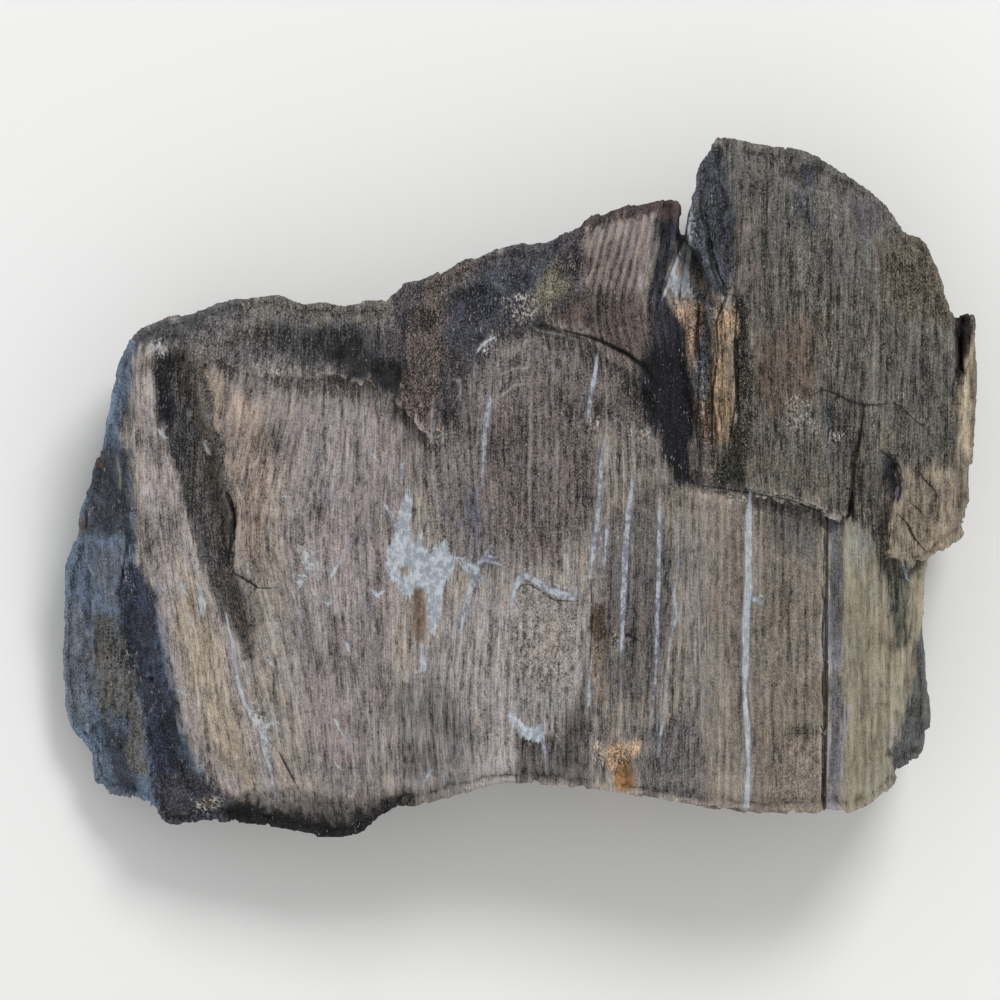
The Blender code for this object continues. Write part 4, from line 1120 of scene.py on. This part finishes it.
def addSpecks(tree, noise, speckled, glassy, colour):
    # pale and dark grains, bluish glints in glassy stone, and short pale strokes that come in swarms
    paleTone = blend(tree, ramp(tree, glassy, 0.1, 0.6), tone("speck"), tone("glint"))
    pale = sums(tree, "MULTIPLY", ramp(tree, noise["grain"], 0.66, 0.77), speckled)
    colour = blend(tree, sums(tree, "MULTIPLY", pale, 0.45, clamp=True), colour, paleTone)
    dark = sums(tree, "MULTIPLY", ramp(tree, noise["grain"], 0.36, 0.27), speckled)
    colour = blend(tree, sums(tree, "MULTIPLY", dark, 0.5, clamp=True), colour, tone("pepper"))
    covered = sums(tree, "MULTIPLY", ramp(tree, noise["stroke"], 0.64, 0.72),
                   ramp(tree, noise["swarm"], 0.48, 0.64))
    return blend(tree, sums(tree, "MULTIPLY", covered, 0.6), colour, tone("stroke"))


def insideVein(tree, vector, torn, share):
    # how far inside the nearest vein a place lies, with its border torn, and the vein's half width
    signed, half, _ = parted(tree, vector)
    inside = sums(tree, "SUBTRACT", half, sums(tree, "ABSOLUTE", signed))
    return sums(tree, "MULTIPLY_ADD", torn, share, inside), half


def addCrackShade(tree, named, noise, colour):
    # cracks painted near-black: partly their own dark, partly painted shade in them and under ledge feet
    ragged = weighted(tree, noise, raggedWeights)
    inside, half = insideVein(tree, named["crackShadeLines"]["Vector"], ragged, 0.4)
    covered = sums(tree, "MULTIPLY", ramp(tree, inside, -0.2, 0.12), ramp(tree, half, 0.02, 0.12))
    covered = sums(tree, "MULTIPLY", covered, ramp(tree, noise["broken"], 0.3, 0.42))
    return blend(tree, sums(tree, "MULTIPLY", covered, 0.85), colour, tone("crackShade"))


def addVeins(tree, named, noise, colour):
    # veins that fade and mottle along their length, each with a faint bluish border
    frayed = weighted(tree, noise, frayedWeights)
    for name, dark, pale in (("creamVeins", "creamDark", "veinCream"), ("blueVeins", "blueDark", "blue"),
                             ("whiteVeins", "whiteDark", "white")):
        inside, half = insideVein(tree, named[name]["Vector"], frayed, 0.32)
        present = ramp(tree, half, 0.0, 0.5)
        halo = sums(tree, "MULTIPLY", ramp(tree, inside, -1.3, 0.1), present)
        colour = blend(tree, sums(tree, "MULTIPLY", halo, 0.28), colour, tone("blueDark"))
        covered = sums(tree, "MULTIPLY", ramp(tree, inside, -0.3, 0.3), present)
        faded = sums(tree, "MULTIPLY_ADD", ramp(tree, noise["broken"], 0.3, 0.6), 0.26, 0.72)
        fill = blend(tree, ramp(tree, noise["mottle"], 0.4, 0.6), tone(dark), tone(pale))
        colour = blend(tree, sums(tree, "MULTIPLY", covered, faded), colour, fill)
    return colour


def addPatches(tree, named, noise, colour):
    # quartz, rust and crumbly pale flecks with frayed borders
    frayed = weighted(tree, noise, frayedWeights)
    crumb = ramp(tree, noise["crumb"], 0.47, 0.6)
    for name, pale, dark, low, high, most in (
            ("chalcedony", "chalcedony", "chalcedonyDark", -0.6, 0.6, 0.9),
            ("rustMarks", "rust", "rustDark", -0.5, 0.9, 0.7),
            ("paleFlecks", "cream", "creamDark", -0.8, 1.2, 0.9)):
        depth = sums(tree, "ADD", named[name]["Fac"], frayed)
        covered = sums(tree, "MULTIPLY", ramp(tree, depth, low, high), most)
        if name == "paleFlecks":
            covered = sums(tree, "MULTIPLY", covered, crumb)
        fill = blend(tree, ramp(tree, noise["mottle"], 0.42, 0.62), tone(dark), tone(pale))
        colour = blend(tree, covered, colour, fill)
    return colour


def addSkin(tree, noise, glassy, colour):
    rough = sums(tree, "MULTIPLY_ADD", glassy, woodSkin["roughOnGlass"], woodSkin["rough"])
    rough = sums(tree, "MULTIPLY_ADD", noise["grain"], woodSkin["roughOnGrain"], rough)
    height = sums(tree, "MULTIPLY_ADD", noise["hair"], woodSkin["hairRise"], noise["grain"])
    strength = sums(tree, "MULTIPLY_ADD", glassy, woodSkin["bumpOnGlass"], woodSkin["bump"])
    rise = addNode(tree, "ShaderNodeBump", {
        "Strength": strength, "Distance": woodSkin["bumpDepth"], "Height": height})
    skin = addNode(tree, "ShaderNodeBsdfPrincipled", {
        "Base Color": colour, "Roughness": rough, "Normal": rise.outputs[0], "IOR": woodSkin["IOR"],
        "Specular IOR Level": woodSkin["specular"]})
    addNode(tree, "ShaderNodeOutputMaterial", {"Surface": skin.outputs[0]})


studio = {"floorSize": 8.0, "floor": "#f1f1f0", "world": "#ffffff", "worldStrength": 0.66,
          "keyPlace": (1.1, 2.2, 2.7), "keySize": 1.2, "keyPower": 64.0}


def studioFloor():
    # pale matt paper, which takes a soft shadow and has no shine
    bpy.ops.mesh.primitive_plane_add(size=studio["floorSize"])
    floor = bpy.context.object
    floor.name = "studioFloor"
    paint = bpy.data.materials.new("palePaper")
    paint.use_nodes = True
    skin = paint.node_tree.nodes["Principled BSDF"]
    skin.inputs["Base Color"].default_value = tuple(linear(studio["floor"]))
    skin.inputs["Roughness"].default_value = 0.9
    floor.data.materials.append(paint)


def studioLight():
    world = bpy.data.worlds.new("studioWorld")
    bpy.context.scene.world = world
    world.use_nodes = True
    sky = world.node_tree.nodes["Background"].inputs
    sky["Color"].default_value = tuple(linear(studio["world"]))
    sky["Strength"].default_value = studio["worldStrength"]
    key = bpy.data.lights.new("keyLight", "AREA")
    key.size = studio["keySize"]
    key.energy = studio["keyPower"]
    lamp = bpy.data.objects.new("keyLight", key)
    lamp.location = studio["keyPlace"]
    lamp.rotation_euler = Vector(studio["keyPlace"]).to_track_quat("Z", "Y").to_euler()
    bpy.context.scene.collection.objects.link(lamp)


# A long lens from straight above, as the photo shows the stone
cameraView = {"lens": 1000.0, "sensor": 36.0, "width": 0.3, "height": 0.044,
              "middle": (-0.00555, -0.00375)}


def photoCamera():
    eye = bpy.data.cameras.new("photoCamera")
    eye.lens = cameraView["lens"]
    eye.sensor_width = cameraView["sensor"]
    camera = bpy.data.objects.new("photoCamera", eye)
    distance = cameraView["width"] * cameraView["lens"] / cameraView["sensor"]
    camera.location = (*cameraView["middle"], cameraView["height"] + distance)
    bpy.context.scene.collection.objects.link(camera)
    bpy.context.scene.camera = camera
    # the photograph's white stays white and its greys stay greys
    bpy.context.scene.view_settings.view_transform = "Standard"


print("stage 1: a fine copy of the solid with sharp layer edges")
stone = fineCopy(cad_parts["petrified_wood"])
smoothTree = BVHTree.FromObject(stone, bpy.context.evaluated_depsgraph_get())
cutLayerEdges(stone.data, smoothTree)
finerGrid(stone)

print("stage 2: relief of the split wood")
shapeRelief(stone)

print("stage 3: colours and veins")
writeLook(stone.data)
stone.data.materials.clear()
stone.data.materials.append(silicifiedWood())
onlySelect(stone)
bpy.ops.object.shade_smooth_by_angle(angle=math.radians(40.0))
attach(stone, "root")
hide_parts("petrified_wood")

print("stage 4: floor, lights and camera")
studioFloor()
studioLight()
photoCamera()
